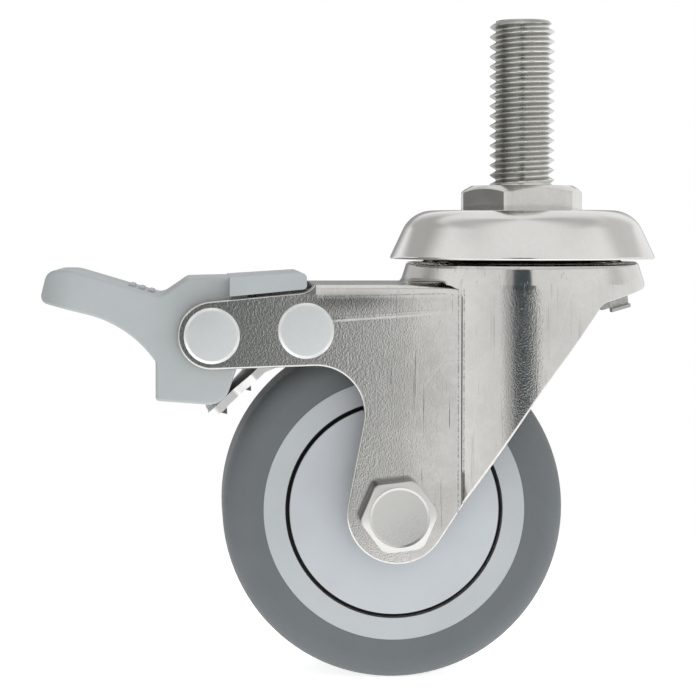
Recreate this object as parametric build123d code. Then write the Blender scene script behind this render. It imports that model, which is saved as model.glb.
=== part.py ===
"""Total-lock swivel castor: threaded stem, stamped stainless fork, 2 in wheel and foot brake.

Frame: the origin is on the swivel axis at the hexagon's top face. +Z is up the stem, +X points
away from the brake, and the wheel's axle lies along Y. Lengths are millimetres, angles degrees.
"""

from build123d import *

import os
from math import acos, atan2, cos, degrees, hypot, pi, radians, sin, sqrt, tan

# ---------------------------------------------------------------------------------------------
# Driving dimensions
# ---------------------------------------------------------------------------------------------

# Stem, hexagon and kingpin, turned from one bar
stem_diameter = 10.0
stem_length = 25.0
stem_tip_chamfer = 1.0
hex_across_flats = 17.0
hex_height = 3.75
hex_turn = 10.0
hex_chamfer_angle = 30.0
hex_face_inset = 0.8
kingpin_diameter = 9.6
kingpin_thread_diameter = 8.0
kingpin_end_chamfer = 0.6
kingpin_end_stand_out = 1.0

# Sheets
cap_sheet = 1.2
fork_sheet = 2.0
brake_sheet = 1.2
spring_sheet = 0.5

# Dished top cap
cap_diameter = 40.4
cap_depth = 7.35
cap_wall_angle = 65.0
cap_shoulder_radius = 5.0

# Swivel bearing
upper_ball_diameter = 4.0
upper_ball_pitch = 4.8
upper_race_thickness = 2.2
upper_race_width = 4.6
upper_race_to_cap_gap = 0.3
lower_ball_diameter = 3.0
lower_ball_circle = 14.0
lower_ball_count = 12
lower_race_thickness = 1.5
lower_race_diameter = 18.4
groove_share = 0.15
race_edge_margin = 0.6
ball_clearance = 0.05

# Swivel lock ring and kingpin nut
lock_ring_diameter = 19.2
lock_ring_wall = 1.4
lock_ring_flange = 1.0
lock_tooth_height = 2.9
lock_notch_count = 12
lock_notch_width = 2.8
kingpin_nut_flats = 13.0
kingpin_nut_height = 4.0

# Fork stamping
fork_width = 30.0
fork_bend_radius = 2.0
fork_inner_bend_radius = 0.3
crown_diameter = 37.0
crown_edge_radius = 0.7
crown_draft = 1.0
crown_root_radius = 1.2
crown_to_cap_gap = 0.4
crown_to_web = 3.2
web_front_from_axle = 11.9
fork_cut_radius = 0.3
arm_angle = 5.5
arm_lower_angle = 1.9
arm_root_radius = 2.2
ear_radius = 4.95
boss_radius = 7.4
leg_front_angle = 79.0
leg_corner_radius = 7.0
tail_bend_place = 0.6
tail_bend_drop = 12.95
tail_bend_radius = 40.0
tail_corner_place = 9.65
tail_corner_drop = 0.7
tail_corner_radius = 3.0
tail_end_drop = 0.1
step_radius = 0.6

# Wheel
wheel_diameter = 50.8
wheel_trail = 20.3
wheel_to_web_gap = 6.0
tread_width = 12.6
core_width = 19.6
tyre_thickness = 6.05
tyre_shoulder_radius = 3.4
tyre_keel_height = 2.0
tyre_keel_width = 8.0
guard_diameter = 31.2
guard_gap = 0.55
guard_thickness = 1.3
guard_hub_diameter = 9.4
guard_running_gap = 0.4
guard_stand_out = 0.1
guard_edge_chamfer = 0.2
core_web = 3.6
core_rib = 1.4
core_rib_count = 6
bearing_seat_wall = 1.6
core_rim_wall = 1.2

# Wheel bearings, 6 x 19 x 6
bearing_outer_diameter = 19.0
bearing_width = 6.0
bearing_ring = 2.1
wheel_ball_diameter = 3.0
wheel_ball_count = 7

# Axle, rivets
axle_diameter = 6.0
axle_head_flats = 10.0
axle_head_height = 4.0
axle_head_turn = 6.7
axle_nut_height = 5.0
axle_disc_share = 0.95
axle_end_stand_out = 1.4
axle_end_chamfer = 0.7
sleeve_step = 0.6
rivet_diameter = 6.0
rivet_head_diameter = 8.1
rivet_head_height = 1.5
rivet_head_chamfer = 0.35

# Brake pedal
pedal_pivot_stand_off = 12.13
pedal_pivot_angle = 136.0
pedal_lug_start = 2.6
pedal_lug_length = 11.2
pedal_lug_rise = 0.7
pedal_lug_gap = 0.45
pedal_lug_tip_radius = 0.8
pedal_top = 8.45
pedal_toe_top = 9.45
pedal_toe_reach = 25.3
pedal_toe_thickness = 4.7
pedal_toe_flat = 3.6
pedal_toe_lean = 1.3
pedal_toe_tip_radius = 1.9
pedal_toe_under_radius = 1.2
pedal_toe_back_radius = 5.0
pedal_toe_plan_radius = 5.0
pedal_neck_reach = 7.5
pedal_neck_drop = 3.85
pedal_neck_radius = 2.0
pedal_shoulder_reach = 3.6
pedal_shoulder_drop = 0.2
pedal_shoulder_radius = 1.2
pedal_hub_radius = 5.4
pedal_block_radius = 3.0
pedal_corner_radius = 0.6
pedal_edge_radius = 0.5
pedal_cam_depth = 10.4
pedal_cam_rise = 0.75
pedal_cam_back = 1.74
pedal_cam_front = 8.2
pedal_cam_radius = 3.0
pedal_throat_drop = 3.9
pedal_throat_reach = 12.1
pedal_throat_rise = 1.45
pedal_throat_radius = 17.0
pedal_grip_count = 3
pedal_grip_start = 1.6
pedal_grip_spacing = 1.5
pedal_grip_height = 0.35
pedal_grip_width = 0.9
pedal_grip_radius = 0.3

# Brake plate: shoe, cheeks and swivel-lock lever
shoe_pivot_stand_off = 4.55
shoe_pivot_angle = 116.5
shoe_angle = 44.0
shoe_set = -0.2
shoe_length = 18.9
shoe_width = 18.0
shoe_shoulder_reach = 10.5
shoe_shoulder_run = 3.0
shoe_tip_radius = 1.5
shoe_eye_radius = 3.9
shoe_tooth_start = 12.0
shoe_tooth_spacing = 4.9
shoe_tooth_height = 0.8
shoe_tooth_front = 0.6
shoe_tooth_back = 0.8
shoe_tooth_root = 0.1
shoe_tooth_width = 3.2
shoe_lip_height = 0.7
shoe_lip_root = 1.3
shoe_lip_lean = 0.2
cheek_reach = 8.5
lever_slope = 3.5
lever_lift = 1.2
lever_ring_gap = 1.0
lock_tongue_width = 2.0
tongue_overlap = 0.4
rivet_gap = 0.8

# Return spring
spring_arm_width = 1.6
spring_edge_gap = 0.9
spring_tip_overlap = 1.7
spring_tip_gap = 0.1
spring_back_start = 8.5
spring_tab_x = 13.8
spring_tab_y = 3.6
spring_tab_width = 2.8
spring_tab_drop = 5.6
spring_tab_foot = 1.4
spring_tab_slant = 0.8
spring_tab_lean = 0.6
spring_root = 1.0

# Running clearances, taken on the radius or on each side
pin_clearance = 0.05
fixed_clearance = 0.02
side_clearance = 0.4
swivel_clearance = 0.5

# How near an edge lies to a face to count as lying on it, where edges are picked for rounding
touching = 0.001

# ---------------------------------------------------------------------------------------------
# Levels and places worked out from them
# ---------------------------------------------------------------------------------------------

cap_top = -hex_height
cap_under = cap_top - cap_sheet
cap_rim = cap_top - cap_depth


def cap_outline(offset):
    """Rim radius, shoulder radius and top level of the cap's skin, offset inwards."""
    slope = radians(cap_wall_angle)
    rim = cap_diameter / 2 - offset / sin(slope)
    top = cap_top - offset
    shoulder = rim - (top - cap_rim) / tan(slope)
    return rim, shoulder, top


cap_inner_flat = cap_outline(cap_sheet)[1] - (cap_shoulder_radius - cap_sheet) * tan(
    radians(cap_wall_angle / 2)
)
upper_ball_circle = 2 * (cap_inner_flat - upper_race_to_cap_gap) - upper_race_width
upper_ball_count = int(pi * upper_ball_circle / upper_ball_pitch)

upper_race_under = cap_under - upper_race_thickness
upper_ball_radius = upper_ball_diameter / 2
upper_groove = groove_share * upper_ball_diameter
upper_ball_level = upper_race_under + upper_groove - upper_ball_radius
plateau_top = upper_ball_level - upper_ball_radius + upper_groove
plateau_under = plateau_top - fork_sheet

lower_ball_radius = lower_ball_diameter / 2
lower_groove = groove_share * lower_ball_diameter
lower_ball_level = plateau_under + lower_groove - lower_ball_radius
lower_race_top = lower_ball_level - lower_ball_radius + lower_groove
lower_race_under = lower_race_top - lower_race_thickness
lock_flange_under = lower_race_under - lock_ring_flange
lock_tooth_tip = lock_flange_under - lock_tooth_height
kingpin_end = lock_flange_under - kingpin_nut_height - kingpin_end_stand_out

crown_radius = crown_diameter / 2
crown_top = cap_rim - crown_to_cap_gap
plateau_radius = upper_ball_circle / 2 + upper_ball_radius + race_edge_margin
web_top = crown_top - crown_to_web
web_under = web_top - fork_sheet

fork_half = fork_width / 2
inner_half = fork_half - fork_sheet

wheel_radius = wheel_diameter / 2
axle_x = -wheel_trail
axle_z = web_under - wheel_to_web_gap - wheel_radius
axle = (axle_x, axle_z)
web_front = axle_x - web_front_from_axle
skirt_foot = axle_z - wheel_radius


def polar(centre, radius, angle):
    """Point at a radius and an angle from a centre, in the castor's side plane."""
    a = radians(angle)
    return (centre[0] + radius * cos(a), centre[1] + radius * sin(a))


def along(point, angle, distance, lift=0.0):
    """Point a distance along a direction from a point, and a lift to the left of it."""
    on_line = polar(point, distance, angle)
    return polar(on_line, lift, angle + 90)


pedal_pivot = polar(axle, wheel_radius + pedal_pivot_stand_off, pedal_pivot_angle)
shoe_pivot = polar(axle, wheel_radius + shoe_pivot_stand_off, shoe_pivot_angle)
pin_bore = rivet_diameter / 2 + pin_clearance
rivet_seat = rivet_diameter / 2 + fixed_clearance
moving_half = inner_half - side_clearance


# ---------------------------------------------------------------------------------------------
# Shared form makers
# ---------------------------------------------------------------------------------------------


def turned(points):
    """Solid of revolution about Z from a closed outline of (radius, height) points."""
    outline = make_face(Polyline(*points, close=True))
    return revolve(Plane.XZ * outline, Axis.Z)


def turned_about_y(points, centre):
    """Solid of revolution about a Y axis through a side-plane centre, from (radius, y) points."""
    body = turned(points)
    return Pos(centre[0], 0, centre[1]) * (Rot(-90, 0, 0) * body)


def across(outline, y_low, y_high):
    """Side-plane outline drawn as (x, z), carried across from one y to another."""
    slab = extrude(Plane.XZ * outline, amount=y_high - y_low)
    return Pos(0, y_high, 0) * slab


def hexagon(across_flats):
    """Flat hexagon with a corner on its first axis."""
    return RegularPolygon(across_flats / sqrt(3), 6)


def pin_hole(centre, radius):
    """Cutter for a hole along Y, right through the castor."""
    return across(Pos(*centre) * Circle(radius), -crown_diameter, crown_diameter)


def tangent_point(target, centre, radius, side):
    """Where a line from a target point touches a circle: side +1 is anticlockwise of the target."""
    away = hypot(target[0] - centre[0], target[1] - centre[1])
    facing = degrees(atan2(target[1] - centre[1], target[0] - centre[0]))
    return polar(centre, radius, facing + side * degrees(acos(radius / away)))


def mirrored_across(solid):
    """The same piece on the castor's far side."""
    return mirror(solid, Plane.XZ)


def ball_ring(radius, circle, count, level):
    """Separate balls evenly round the swivel axis."""
    ball = Pos(circle / 2, 0, level) * Sphere(radius)
    return [Rot(0, 0, 360 * i / count) * ball for i in range(count)]


# ---------------------------------------------------------------------------------------------
# Head: stem, cap, swivel bearing, lock ring
# ---------------------------------------------------------------------------------------------


def threaded_stem():
    """Stem, hexagon and kingpin in one turned piece."""
    stem = stem_diameter / 2
    pin = kingpin_diameter / 2
    thread = kingpin_thread_diameter / 2
    corner = hex_across_flats / sqrt(3)
    bar = turned([
        (0, kingpin_end),
        (thread - kingpin_end_chamfer, kingpin_end),
        (thread, kingpin_end + kingpin_end_chamfer),
        (thread, lower_race_top),
        (pin, lower_race_top),
        (pin, cap_top),
        (stem, cap_top),
        (stem, stem_length - stem_tip_chamfer),
        (stem - stem_tip_chamfer, stem_length),
        (0, stem_length),
    ])
    nut = Pos(0, 0, cap_top) * extrude(Rot(0, 0, hex_turn) * hexagon(hex_across_flats), hex_height)
    disc = hex_across_flats / 2 - hex_face_inset
    drop = (corner - disc) * tan(radians(hex_chamfer_angle))
    cone = turned([(0, cap_top), (corner, cap_top), (corner, -drop), (disc, 0), (0, 0)])
    return bar + (nut & cone)


def top_cap():
    """Dished pressed cap: flat top, rounded shoulder and a flared wall."""
    rim, shoulder, top = cap_outline(0)
    inner_rim, inner_shoulder, inner_top = cap_outline(cap_sheet)
    hole = kingpin_diameter / 2 + fixed_clearance
    outer = FilletPolyline(
        (hole, top), (shoulder, top), (rim, cap_rim), radius=cap_shoulder_radius
    )
    inner = FilletPolyline(
        (inner_rim, cap_rim),
        (inner_shoulder, inner_top),
        (hole, inner_top),
        radius=cap_shoulder_radius - cap_sheet,
    )
    edges = [*outer.edges(), Line(outer @ 1, inner @ 0), *inner.edges(), Line(inner @ 1, outer @ 0)]
    return revolve(Plane.XZ * make_face(edges), Axis.Z)


def groove(circle, radius, level):
    """Ball track to be cut from a race."""
    return Pos(0, 0, level) * Torus(circle / 2, radius + ball_clearance)


def upper_race():
    """Ring under the cap that carries the upper balls."""
    middle = upper_ball_circle / 2
    ring = turned([
        (middle - upper_race_width / 2, cap_under),
        (middle + upper_race_width / 2, cap_under),
        (middle + upper_race_width / 2, upper_race_under),
        (middle - upper_race_width / 2, upper_race_under),
    ])
    return ring - groove(upper_ball_circle, upper_ball_radius, upper_ball_level)


def lower_race():
    """Ring on the kingpin that carries the lower balls."""
    bore = kingpin_thread_diameter / 2 + fixed_clearance
    ring = turned([
        (bore, lower_race_top),
        (lower_race_diameter / 2, lower_race_top),
        (lower_race_diameter / 2, lower_race_under),
        (bore, lower_race_under),
    ])
    return ring - groove(lower_ball_circle, lower_ball_radius, lower_ball_level)


def swivel_lock_ring():
    """Castellated cup whose notches take the brake lever's tongue."""
    outer = lock_ring_diameter / 2
    inner = outer - lock_ring_wall
    bore = kingpin_thread_diameter / 2 + fixed_clearance
    cup = turned([
        (bore, lower_race_under),
        (outer, lower_race_under),
        (outer, lock_tooth_tip),
        (inner, lock_tooth_tip),
        (inner, lock_flange_under),
        (bore, lock_flange_under),
    ])
    notch = Pos(outer, 0, (lock_flange_under + lock_tooth_tip) / 2) * Box(
        2 * lock_ring_wall + outer / 2, lock_notch_width, lock_tooth_height
    )
    for i in range(lock_notch_count):
        cup -= Rot(0, 0, 360 * i / lock_notch_count) * notch
    return cup


def kingpin_nut():
    """Lock nut under the ring that holds the swivel head together."""
    bore = kingpin_thread_diameter / 2 + fixed_clearance
    body = extrude(hexagon(kingpin_nut_flats), kingpin_nut_height)
    corner = kingpin_nut_flats / sqrt(3)
    flat = kingpin_nut_flats / 2
    drop = (corner - flat) * tan(radians(hex_chamfer_angle))
    cone = turned([
        (bore, 0),
        (flat, 0),
        (corner, drop),
        (corner, kingpin_nut_height),
        (bore, kingpin_nut_height),
    ])
    return Pos(0, 0, lock_flange_under - kingpin_nut_height) * (body & cone)


# ---------------------------------------------------------------------------------------------
# Fork: one deep-drawn sheet with crown, web, arms and legs
# ---------------------------------------------------------------------------------------------


def crown_wall(level, offset):
    """Radius of the crown's drafted wall at a level, offset inwards from the outer surface."""
    slope = atan2(crown_draft, crown_to_web)
    return crown_radius - offset / cos(slope) - (level - web_top) * tan(slope)


def crown_form(offset):
    """Round drum of the crown with its raised centre, offset inwards from the outer surface."""
    top = crown_top - offset
    step = plateau_top - crown_top
    outline = FilletPolyline(
        (0, plateau_top - offset),
        (plateau_radius - offset / 2, plateau_top - offset),
        (plateau_radius + step - offset / 2, top),
        (crown_wall(top, offset), top),
        (crown_radius - offset, web_top),
        (crown_radius - offset, skirt_foot),
        (0, skirt_foot),
        radius=[0, step_radius, step_radius, crown_edge_radius, 0, 0, 0],
        close=True,
    )
    return revolve(Plane.XZ * make_face(outline.edges()), Axis.Z)


def channel_form(offset):
    """Straight channel of web and side plates, offset inwards from the outer surface."""
    half = fork_half - offset
    top = web_top - offset
    bend = max(fork_bend_radius - offset, fork_inner_bend_radius)
    section = FilletPolyline(
        (-half, skirt_foot), (-half, top), (half, top), (half, skirt_foot),
        radius=[0, bend, bend, 0],
        close=True,
    )
    return Pos(web_front, 0, 0) * extrude(Plane.YZ * make_face(section.edges()), -web_front)


def ear_plates():
    """Flat side plates that run forward of the web and carry the two rivets."""
    front = pedal_pivot[0] - ear_radius - 1
    length = web_front - front
    height = web_top - skirt_foot
    plate = Pos(front + length / 2, fork_half - fork_sheet / 2, web_top - height / 2) * Box(
        length, fork_sheet, height
    )
    return plate + mirrored_across(plate)


def fork_side_outline():
    """Side view of the stamping: ears, arms, legs, axle bosses and the swept-up tail."""
    arm_drop = tan(radians(arm_angle))
    arm_top_front = polar(pedal_pivot, ear_radius, 90 + arm_angle)
    arm_top_back = (web_front, arm_top_front[1] + (web_front - arm_top_front[0]) * arm_drop)
    arm_under_front = polar(pedal_pivot, ear_radius, arm_lower_angle - 90)
    leg_touch = polar(axle, boss_radius, leg_front_angle + 90)
    run = tan(radians(arm_lower_angle))
    lean = tan(radians(90 - leg_front_angle))
    start = leg_touch[0] - lean * leg_touch[1] - arm_under_front[0]
    corner_z = (arm_under_front[1] + run * start) / (1 - run * lean)
    inner_corner = (leg_touch[0] + lean * (corner_z - leg_touch[1]), corner_z)
    tail_bend = (tail_bend_place, web_under - tail_bend_drop)
    tail_corner = (tail_corner_place, web_under - tail_corner_drop)
    tail_end = (crown_radius + fork_sheet, web_top - tail_end_drop)
    tail_touch = tangent_point(tail_bend, axle, boss_radius, -1)
    sheet = make_face(Polyline(
        pedal_pivot,
        arm_top_front,
        arm_top_back,
        (web_front, plateau_top + fork_sheet),
        (crown_radius + fork_sheet, plateau_top + fork_sheet),
        tail_end,
        tail_corner,
        tail_bend,
        tail_touch,
        axle,
        leg_touch,
        inner_corner,
        arm_under_front,
        close=True,
    ))
    sheet += Pos(*pedal_pivot) * Circle(ear_radius)
    sheet += Pos(*axle) * Circle(boss_radius)
    for place, radius in (
        (arm_top_back, arm_root_radius),
        (inner_corner, leg_corner_radius),
        (tail_bend, tail_bend_radius),
        (tail_corner, tail_corner_radius),
    ):
        corner = sheet.vertices().sort_by_distance(Vector(*place))[0]
        sheet = fillet(corner, radius)
    return sheet


def outer_form():
    """Outer skin of channel and drum, with the drum's foot rounded into the web."""
    form = channel_form(0) + crown_form(0)
    foot = form.edges().filter_by(
        lambda edge: edge.geom_type == GeomType.CIRCLE
        and abs((edge @ 0.5).Z - web_top) < touching
        and (edge @ 0.5).X < 0
    )
    return fillet(foot, crown_root_radius)


def trimmed_edges(shell):
    """Sheared edges of the outer skin, round the side plates and along the tail."""
    picked = []
    for edge in shell.edges():
        middle = edge @ 0.5
        box = edge.bounding_box()
        seam = edge.geom_type == GeomType.LINE and min(box.size.X, box.size.Z) < touching
        hole = edge.geom_type == GeomType.CIRCLE and abs(edge.radius - rivet_seat) < touching
        on_plate = box.size.Y < touching and abs(abs(middle.Y) - fork_half) < touching
        on_drum = abs(hypot(middle.X, middle.Y) - crown_radius) < touching
        on_tail = on_drum and abs(middle.Y) > inner_half and middle.Z < web_under
        if (on_plate or on_tail) and not seam and not hole:
            picked.append(edge)
    return picked


def fork():
    """The stamping: outer form less inner form, trimmed to its side view and pierced."""
    shell = outer_form() - (channel_form(fork_sheet) + crown_form(fork_sheet))
    shell = (shell + ear_plates()) & across(fork_side_outline(), -crown_radius, crown_radius)
    shell = fillet(trimmed_edges(shell), fork_cut_radius)
    shell -= groove(upper_ball_circle, upper_ball_radius, upper_ball_level)
    shell -= groove(lower_ball_circle, lower_ball_radius, lower_ball_level)
    shell -= Pos(0, 0, plateau_under) * Cylinder(
        kingpin_diameter / 2 + swivel_clearance, 4 * fork_sheet
    )
    shell -= pin_hole(axle, axle_diameter / 2 + fixed_clearance)
    shell -= pin_hole(pedal_pivot, rivet_seat)
    shell -= pin_hole(shoe_pivot, rivet_seat)
    return shell


# ---------------------------------------------------------------------------------------------
# Wheel, bearings and axle
# ---------------------------------------------------------------------------------------------

core_half = core_width / 2
core_radius = wheel_radius - tyre_thickness
guard_out = core_half + guard_stand_out
guard_in = guard_out - guard_thickness
core_floor = guard_in - guard_running_gap
bearing_in = core_floor - bearing_width
bearing_radius = bearing_outer_diameter / 2
axle_bore = axle_diameter / 2 + fixed_clearance
inner_ring_radius = axle_diameter / 2 + bearing_ring
outer_ring_bore = bearing_radius - bearing_ring
wheel_ball_circle = inner_ring_radius + outer_ring_bore


def tyre():
    """Soft tyre with a flat tread and round shoulders, locked on the core's keel."""
    side = tread_width / 2 + tyre_shoulder_radius
    keel = core_radius + tyre_keel_height + fixed_clearance
    seat = core_radius + fixed_clearance
    section = FilletPolyline(
        (seat, -core_half),
        (wheel_radius, -side),
        (wheel_radius, side),
        (seat, core_half),
        (seat, tyre_keel_width / 2),
        (keel, tyre_keel_width / 2),
        (keel, -tyre_keel_width / 2),
        (seat, -tyre_keel_width / 2),
        radius=[0, tyre_shoulder_radius, tyre_shoulder_radius, 0, 0, 0, 0, 0],
        close=True,
    )
    ring = revolve(Plane.XY * make_face(section.edges()), Axis.Y)
    return Pos(axle_x, 0, axle_z) * ring


def wheel_core():
    """Moulded core: rim, keel, two bearing seats and a ribbed web behind the guards."""
    recess = guard_diameter / 2 + guard_gap
    stop = outer_ring_bore
    half = make_face(Polyline(
        (stop, 0),
        (stop, bearing_in),
        (bearing_radius + fixed_clearance, bearing_in),
        (bearing_radius + fixed_clearance, core_floor),
        (recess, core_floor),
        (recess, core_half),
        (core_radius, core_half),
        (core_radius, tyre_keel_width / 2 - fixed_clearance),
        (core_radius + tyre_keel_height, tyre_keel_width / 2 - fixed_clearance),
        (core_radius + tyre_keel_height, 0),
        close=True,
    ))
    body = revolve(Plane.XY * (half + mirror(half, Plane.XZ)), Axis.Y)
    body -= core_pockets(bearing_radius + bearing_seat_wall, recess - core_rim_wall)
    return Pos(axle_x, 0, axle_z) * body


def core_pockets(inner, outer):
    """Cored-out spaces between the ribs on both sides of the web."""
    ring = Circle(outer) - Circle(inner)
    for i in range(core_rib_count):
        rib = Rot(0, 0, 360 * i / core_rib_count) * Pos(outer / 2, 0) * Rectangle(outer, core_rib)
        ring -= rib
    depth = core_floor - core_web / 2
    near = Pos(0, -core_web / 2, 0) * extrude(Plane.XZ * ring, depth)
    return near + mirrored_across(near)


def thread_guard(side):
    """Cover disc and hub clamped between a bearing's inner ring and the leg."""
    bore = axle_diameter / 2 + fixed_clearance
    hub = guard_hub_diameter / 2
    disc = turned_about_y([
        (bore, core_floor),
        (hub, core_floor),
        (hub, guard_in),
        (guard_diameter / 2, guard_in),
        (guard_diameter / 2, guard_out - guard_edge_chamfer),
        (guard_diameter / 2 - guard_edge_chamfer, guard_out),
        (hub, guard_out),
        (hub, inner_half),
        (bore, inner_half),
    ], axle)
    return disc if side > 0 else mirrored_across(disc)


def bearing_ring_solid(inner, outer, side):
    """One race ring of a wheel bearing with its ball track."""
    middle = side * (bearing_in + bearing_width / 2)
    ring = turned_about_y([
        (inner, middle - bearing_width / 2),
        (outer, middle - bearing_width / 2),
        (outer, middle + bearing_width / 2),
        (inner, middle + bearing_width / 2),
    ], axle)
    track = Pos(axle_x, middle, axle_z) * Rot(90, 0, 0) * Torus(
        wheel_ball_circle / 2, wheel_ball_diameter / 2 + ball_clearance
    )
    return ring - track


def bearing_balls(side):
    """The balls of one wheel bearing."""
    middle = side * (bearing_in + bearing_width / 2)
    balls = []
    for i in range(wheel_ball_count):
        place = polar(axle, wheel_ball_circle / 2, 360 * i / wheel_ball_count)
        balls.append(Pos(place[0], middle, place[1]) * Sphere(wheel_ball_diameter / 2))
    return balls


def axle_sleeve():
    """Spacer tube between the two inner rings."""
    bore = axle_diameter / 2 + fixed_clearance
    wall = inner_ring_radius - sleeve_step
    return turned_about_y([
        (bore, -bearing_in), (wall, -bearing_in), (wall, bearing_in), (bore, bearing_in)
    ], axle)


def hex_head(height):
    """Hexagon of the axle's bolt and nut, standing on Z with its outer corners turned off."""
    disc = axle_disc_share * axle_head_flats / 2
    corner = axle_head_flats / sqrt(3)
    drop = (corner - disc) * tan(radians(hex_chamfer_angle))
    cone = turned([(0, 0), (corner, 0), (corner, height - drop), (disc, height), (0, height)])
    return extrude(Rot(0, 0, axle_head_turn) * hexagon(axle_head_flats), height) & cone


def axle_bolt():
    """Hexagon bolt through the legs, guards and bearings."""
    reach = fork_half + axle_nut_height + axle_end_stand_out
    shank = turned_about_y([
        (0, -fork_half),
        (axle_diameter / 2, -fork_half),
        (axle_diameter / 2, reach - axle_end_chamfer),
        (axle_diameter / 2 - axle_end_chamfer, reach),
        (0, reach),
    ], axle)
    head = Rot(90, 0, 0) * hex_head(axle_head_height)
    return shank + Pos(axle_x, -fork_half, axle_z) * head


def axle_nut():
    """Nut on the bolt's far end."""
    nut = Rot(-90, 0, 0) * hex_head(axle_nut_height)
    nut = Pos(axle_x, fork_half, axle_z) * nut
    return nut - pin_hole(axle, axle_diameter / 2 + fixed_clearance)


def rivet(centre):
    """Pin across both side plates with a formed head at each end."""
    pin = rivet_diameter / 2
    head = rivet_head_diameter / 2
    tip = fork_half + rivet_head_height
    return turned_about_y([
        (0, -tip),
        (head - rivet_head_chamfer, -tip),
        (head, -tip + rivet_head_chamfer),
        (head, -fork_half),
        (pin, -fork_half),
        (pin, fork_half),
        (head, fork_half),
        (head, tip - rivet_head_chamfer),
        (head - rivet_head_chamfer, tip),
        (0, tip),
    ], centre)


# ---------------------------------------------------------------------------------------------
# Brake: pedal, plate and return spring
# ---------------------------------------------------------------------------------------------

spring_arm_in = lock_ring_diameter / 2 + spring_edge_gap
spring_arm_out = spring_arm_in + spring_arm_width
lever_half = (spring_arm_in + spring_arm_out) / 2
lever_end = -lock_ring_diameter / 2 - lever_ring_gap - shoe_pivot[0]
tongue_end = -lock_ring_diameter / 2 + lock_ring_wall + tongue_overlap - shoe_pivot[0]


def from_pedal_pivot(x, z):
    """Point given from the pedal's pivot."""
    return (pedal_pivot[0] + x, pedal_pivot[1] + z)


def pedal_lug_outline():
    """Side view of the release lug that lies over both arms."""
    rise = tan(radians(arm_angle))
    under = (ear_radius + pedal_lug_gap) / cos(radians(arm_angle))
    left = pedal_lug_start
    right = left + pedal_lug_length
    lug = FilletPolyline(
        from_pedal_pivot(left, under + left * rise),
        from_pedal_pivot(right, under + right * rise),
        from_pedal_pivot(right, pedal_top + pedal_lug_rise),
        from_pedal_pivot(left, pedal_top),
        radius=[0, pedal_corner_radius, pedal_lug_tip_radius, 0],
        close=True,
    )
    return make_face(lug.edges())


def pedal_body_outline():
    """Side view of the pedal between the ears: toe, hub and cam block."""
    toe = -pedal_toe_reach
    body = FilletPolyline(
        from_pedal_pivot(toe + pedal_toe_lean, pedal_toe_top),
        from_pedal_pivot(toe + pedal_toe_lean + pedal_toe_flat, pedal_toe_top),
        from_pedal_pivot(-pedal_neck_reach, pedal_toe_top - pedal_neck_drop),
        from_pedal_pivot(-pedal_shoulder_reach, pedal_top - pedal_shoulder_drop),
        from_pedal_pivot(pedal_hub_radius, pedal_top),
        from_pedal_pivot(pedal_hub_radius, 0),
        from_pedal_pivot(pedal_cam_back, -pedal_cam_depth),
        from_pedal_pivot(-pedal_cam_front, pedal_cam_rise - pedal_cam_depth),
        from_pedal_pivot(-pedal_cam_front, -pedal_throat_drop),
        from_pedal_pivot(-pedal_throat_reach, pedal_throat_rise),
        from_pedal_pivot(toe, pedal_toe_top - pedal_toe_thickness),
        radius=[
            pedal_toe_tip_radius,
            pedal_toe_back_radius,
            pedal_neck_radius,
            pedal_shoulder_radius,
            0,
            pedal_block_radius,
            pedal_cam_radius,
            pedal_corner_radius,
            pedal_corner_radius,
            pedal_throat_radius,
            pedal_toe_under_radius,
        ],
        close=True,
    )
    return make_face(body.edges())


def pedal_side_edges(body):
    """Edges between the pedal's sides and its rim, and round the toe's plan corners."""
    toe_corner = pedal_pivot[0] - pedal_toe_reach + pedal_toe_plan_radius
    side = moving_half - pedal_toe_plan_radius
    picked = []
    for edge in body.edges():
        middle = edge @ 0.5
        box = edge.bounding_box()
        on_side = box.size.Y < touching and abs(abs(middle.Y) - moving_half) < touching
        on_corner = box.size.Y > 1 and middle.X < toe_corner and abs(middle.Y) > side
        if on_side or on_corner:
            picked.append(edge)
    return picked


def brake_pedal():
    """Moulded pedal: toe, pivot hub, cam block and the wide release lug."""
    body = across(pedal_body_outline(), -moving_half, moving_half)
    reach = 2 * pedal_toe_reach
    plan = Pos(pedal_pivot[0] - pedal_toe_reach + reach / 2, 0) * RectangleRounded(
        reach, 2 * moving_half, pedal_toe_plan_radius
    )
    body &= Pos(0, 0, pedal_pivot[1] - reach) * extrude(plan, 2 * reach)
    body = fillet(pedal_side_edges(body), pedal_edge_radius)
    body += across(pedal_lug_outline(), -fork_half, fork_half)
    for i in range(pedal_grip_count):
        body += pedal_grip(i)
    return body - pin_hole(pedal_pivot, pin_bore)


def pedal_grip(index):
    """Low moulded rib across the toe's upper face."""
    run = pedal_toe_reach - pedal_toe_lean - pedal_toe_flat - pedal_neck_reach
    slope = degrees(atan2(-pedal_neck_drop, run))
    start = from_pedal_pivot(-pedal_neck_reach, pedal_toe_top - pedal_neck_drop)
    middle = along(start, slope + 180, pedal_grip_start + index * pedal_grip_spacing)
    rib = Pos(*middle) * Rot(0, 0, slope) * RectangleRounded(
        pedal_grip_width, 2 * pedal_grip_height, pedal_grip_radius
    )
    return across(rib, -moving_half / 2, moving_half / 2)


def shoe_place(distance, lift):
    """Point on the brake shoe's strip: distance from its pivot and lift towards the tyre."""
    return along(shoe_pivot, 180 + shoe_angle, distance, lift + shoe_set)


def lever_place(distance, lift):
    """Point on the lock lever's strip: distance from its pivot and lift above its middle."""
    return along(shoe_pivot, -lever_slope, distance, lift + lever_lift)


def strip(place, start, end, thickness):
    """Side view of a sheet strip between two distances along its line."""
    half = thickness / 2
    return make_face(Polyline(
        place(start, -half), place(end, -half), place(end, half), place(start, half), close=True
    ))


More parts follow.
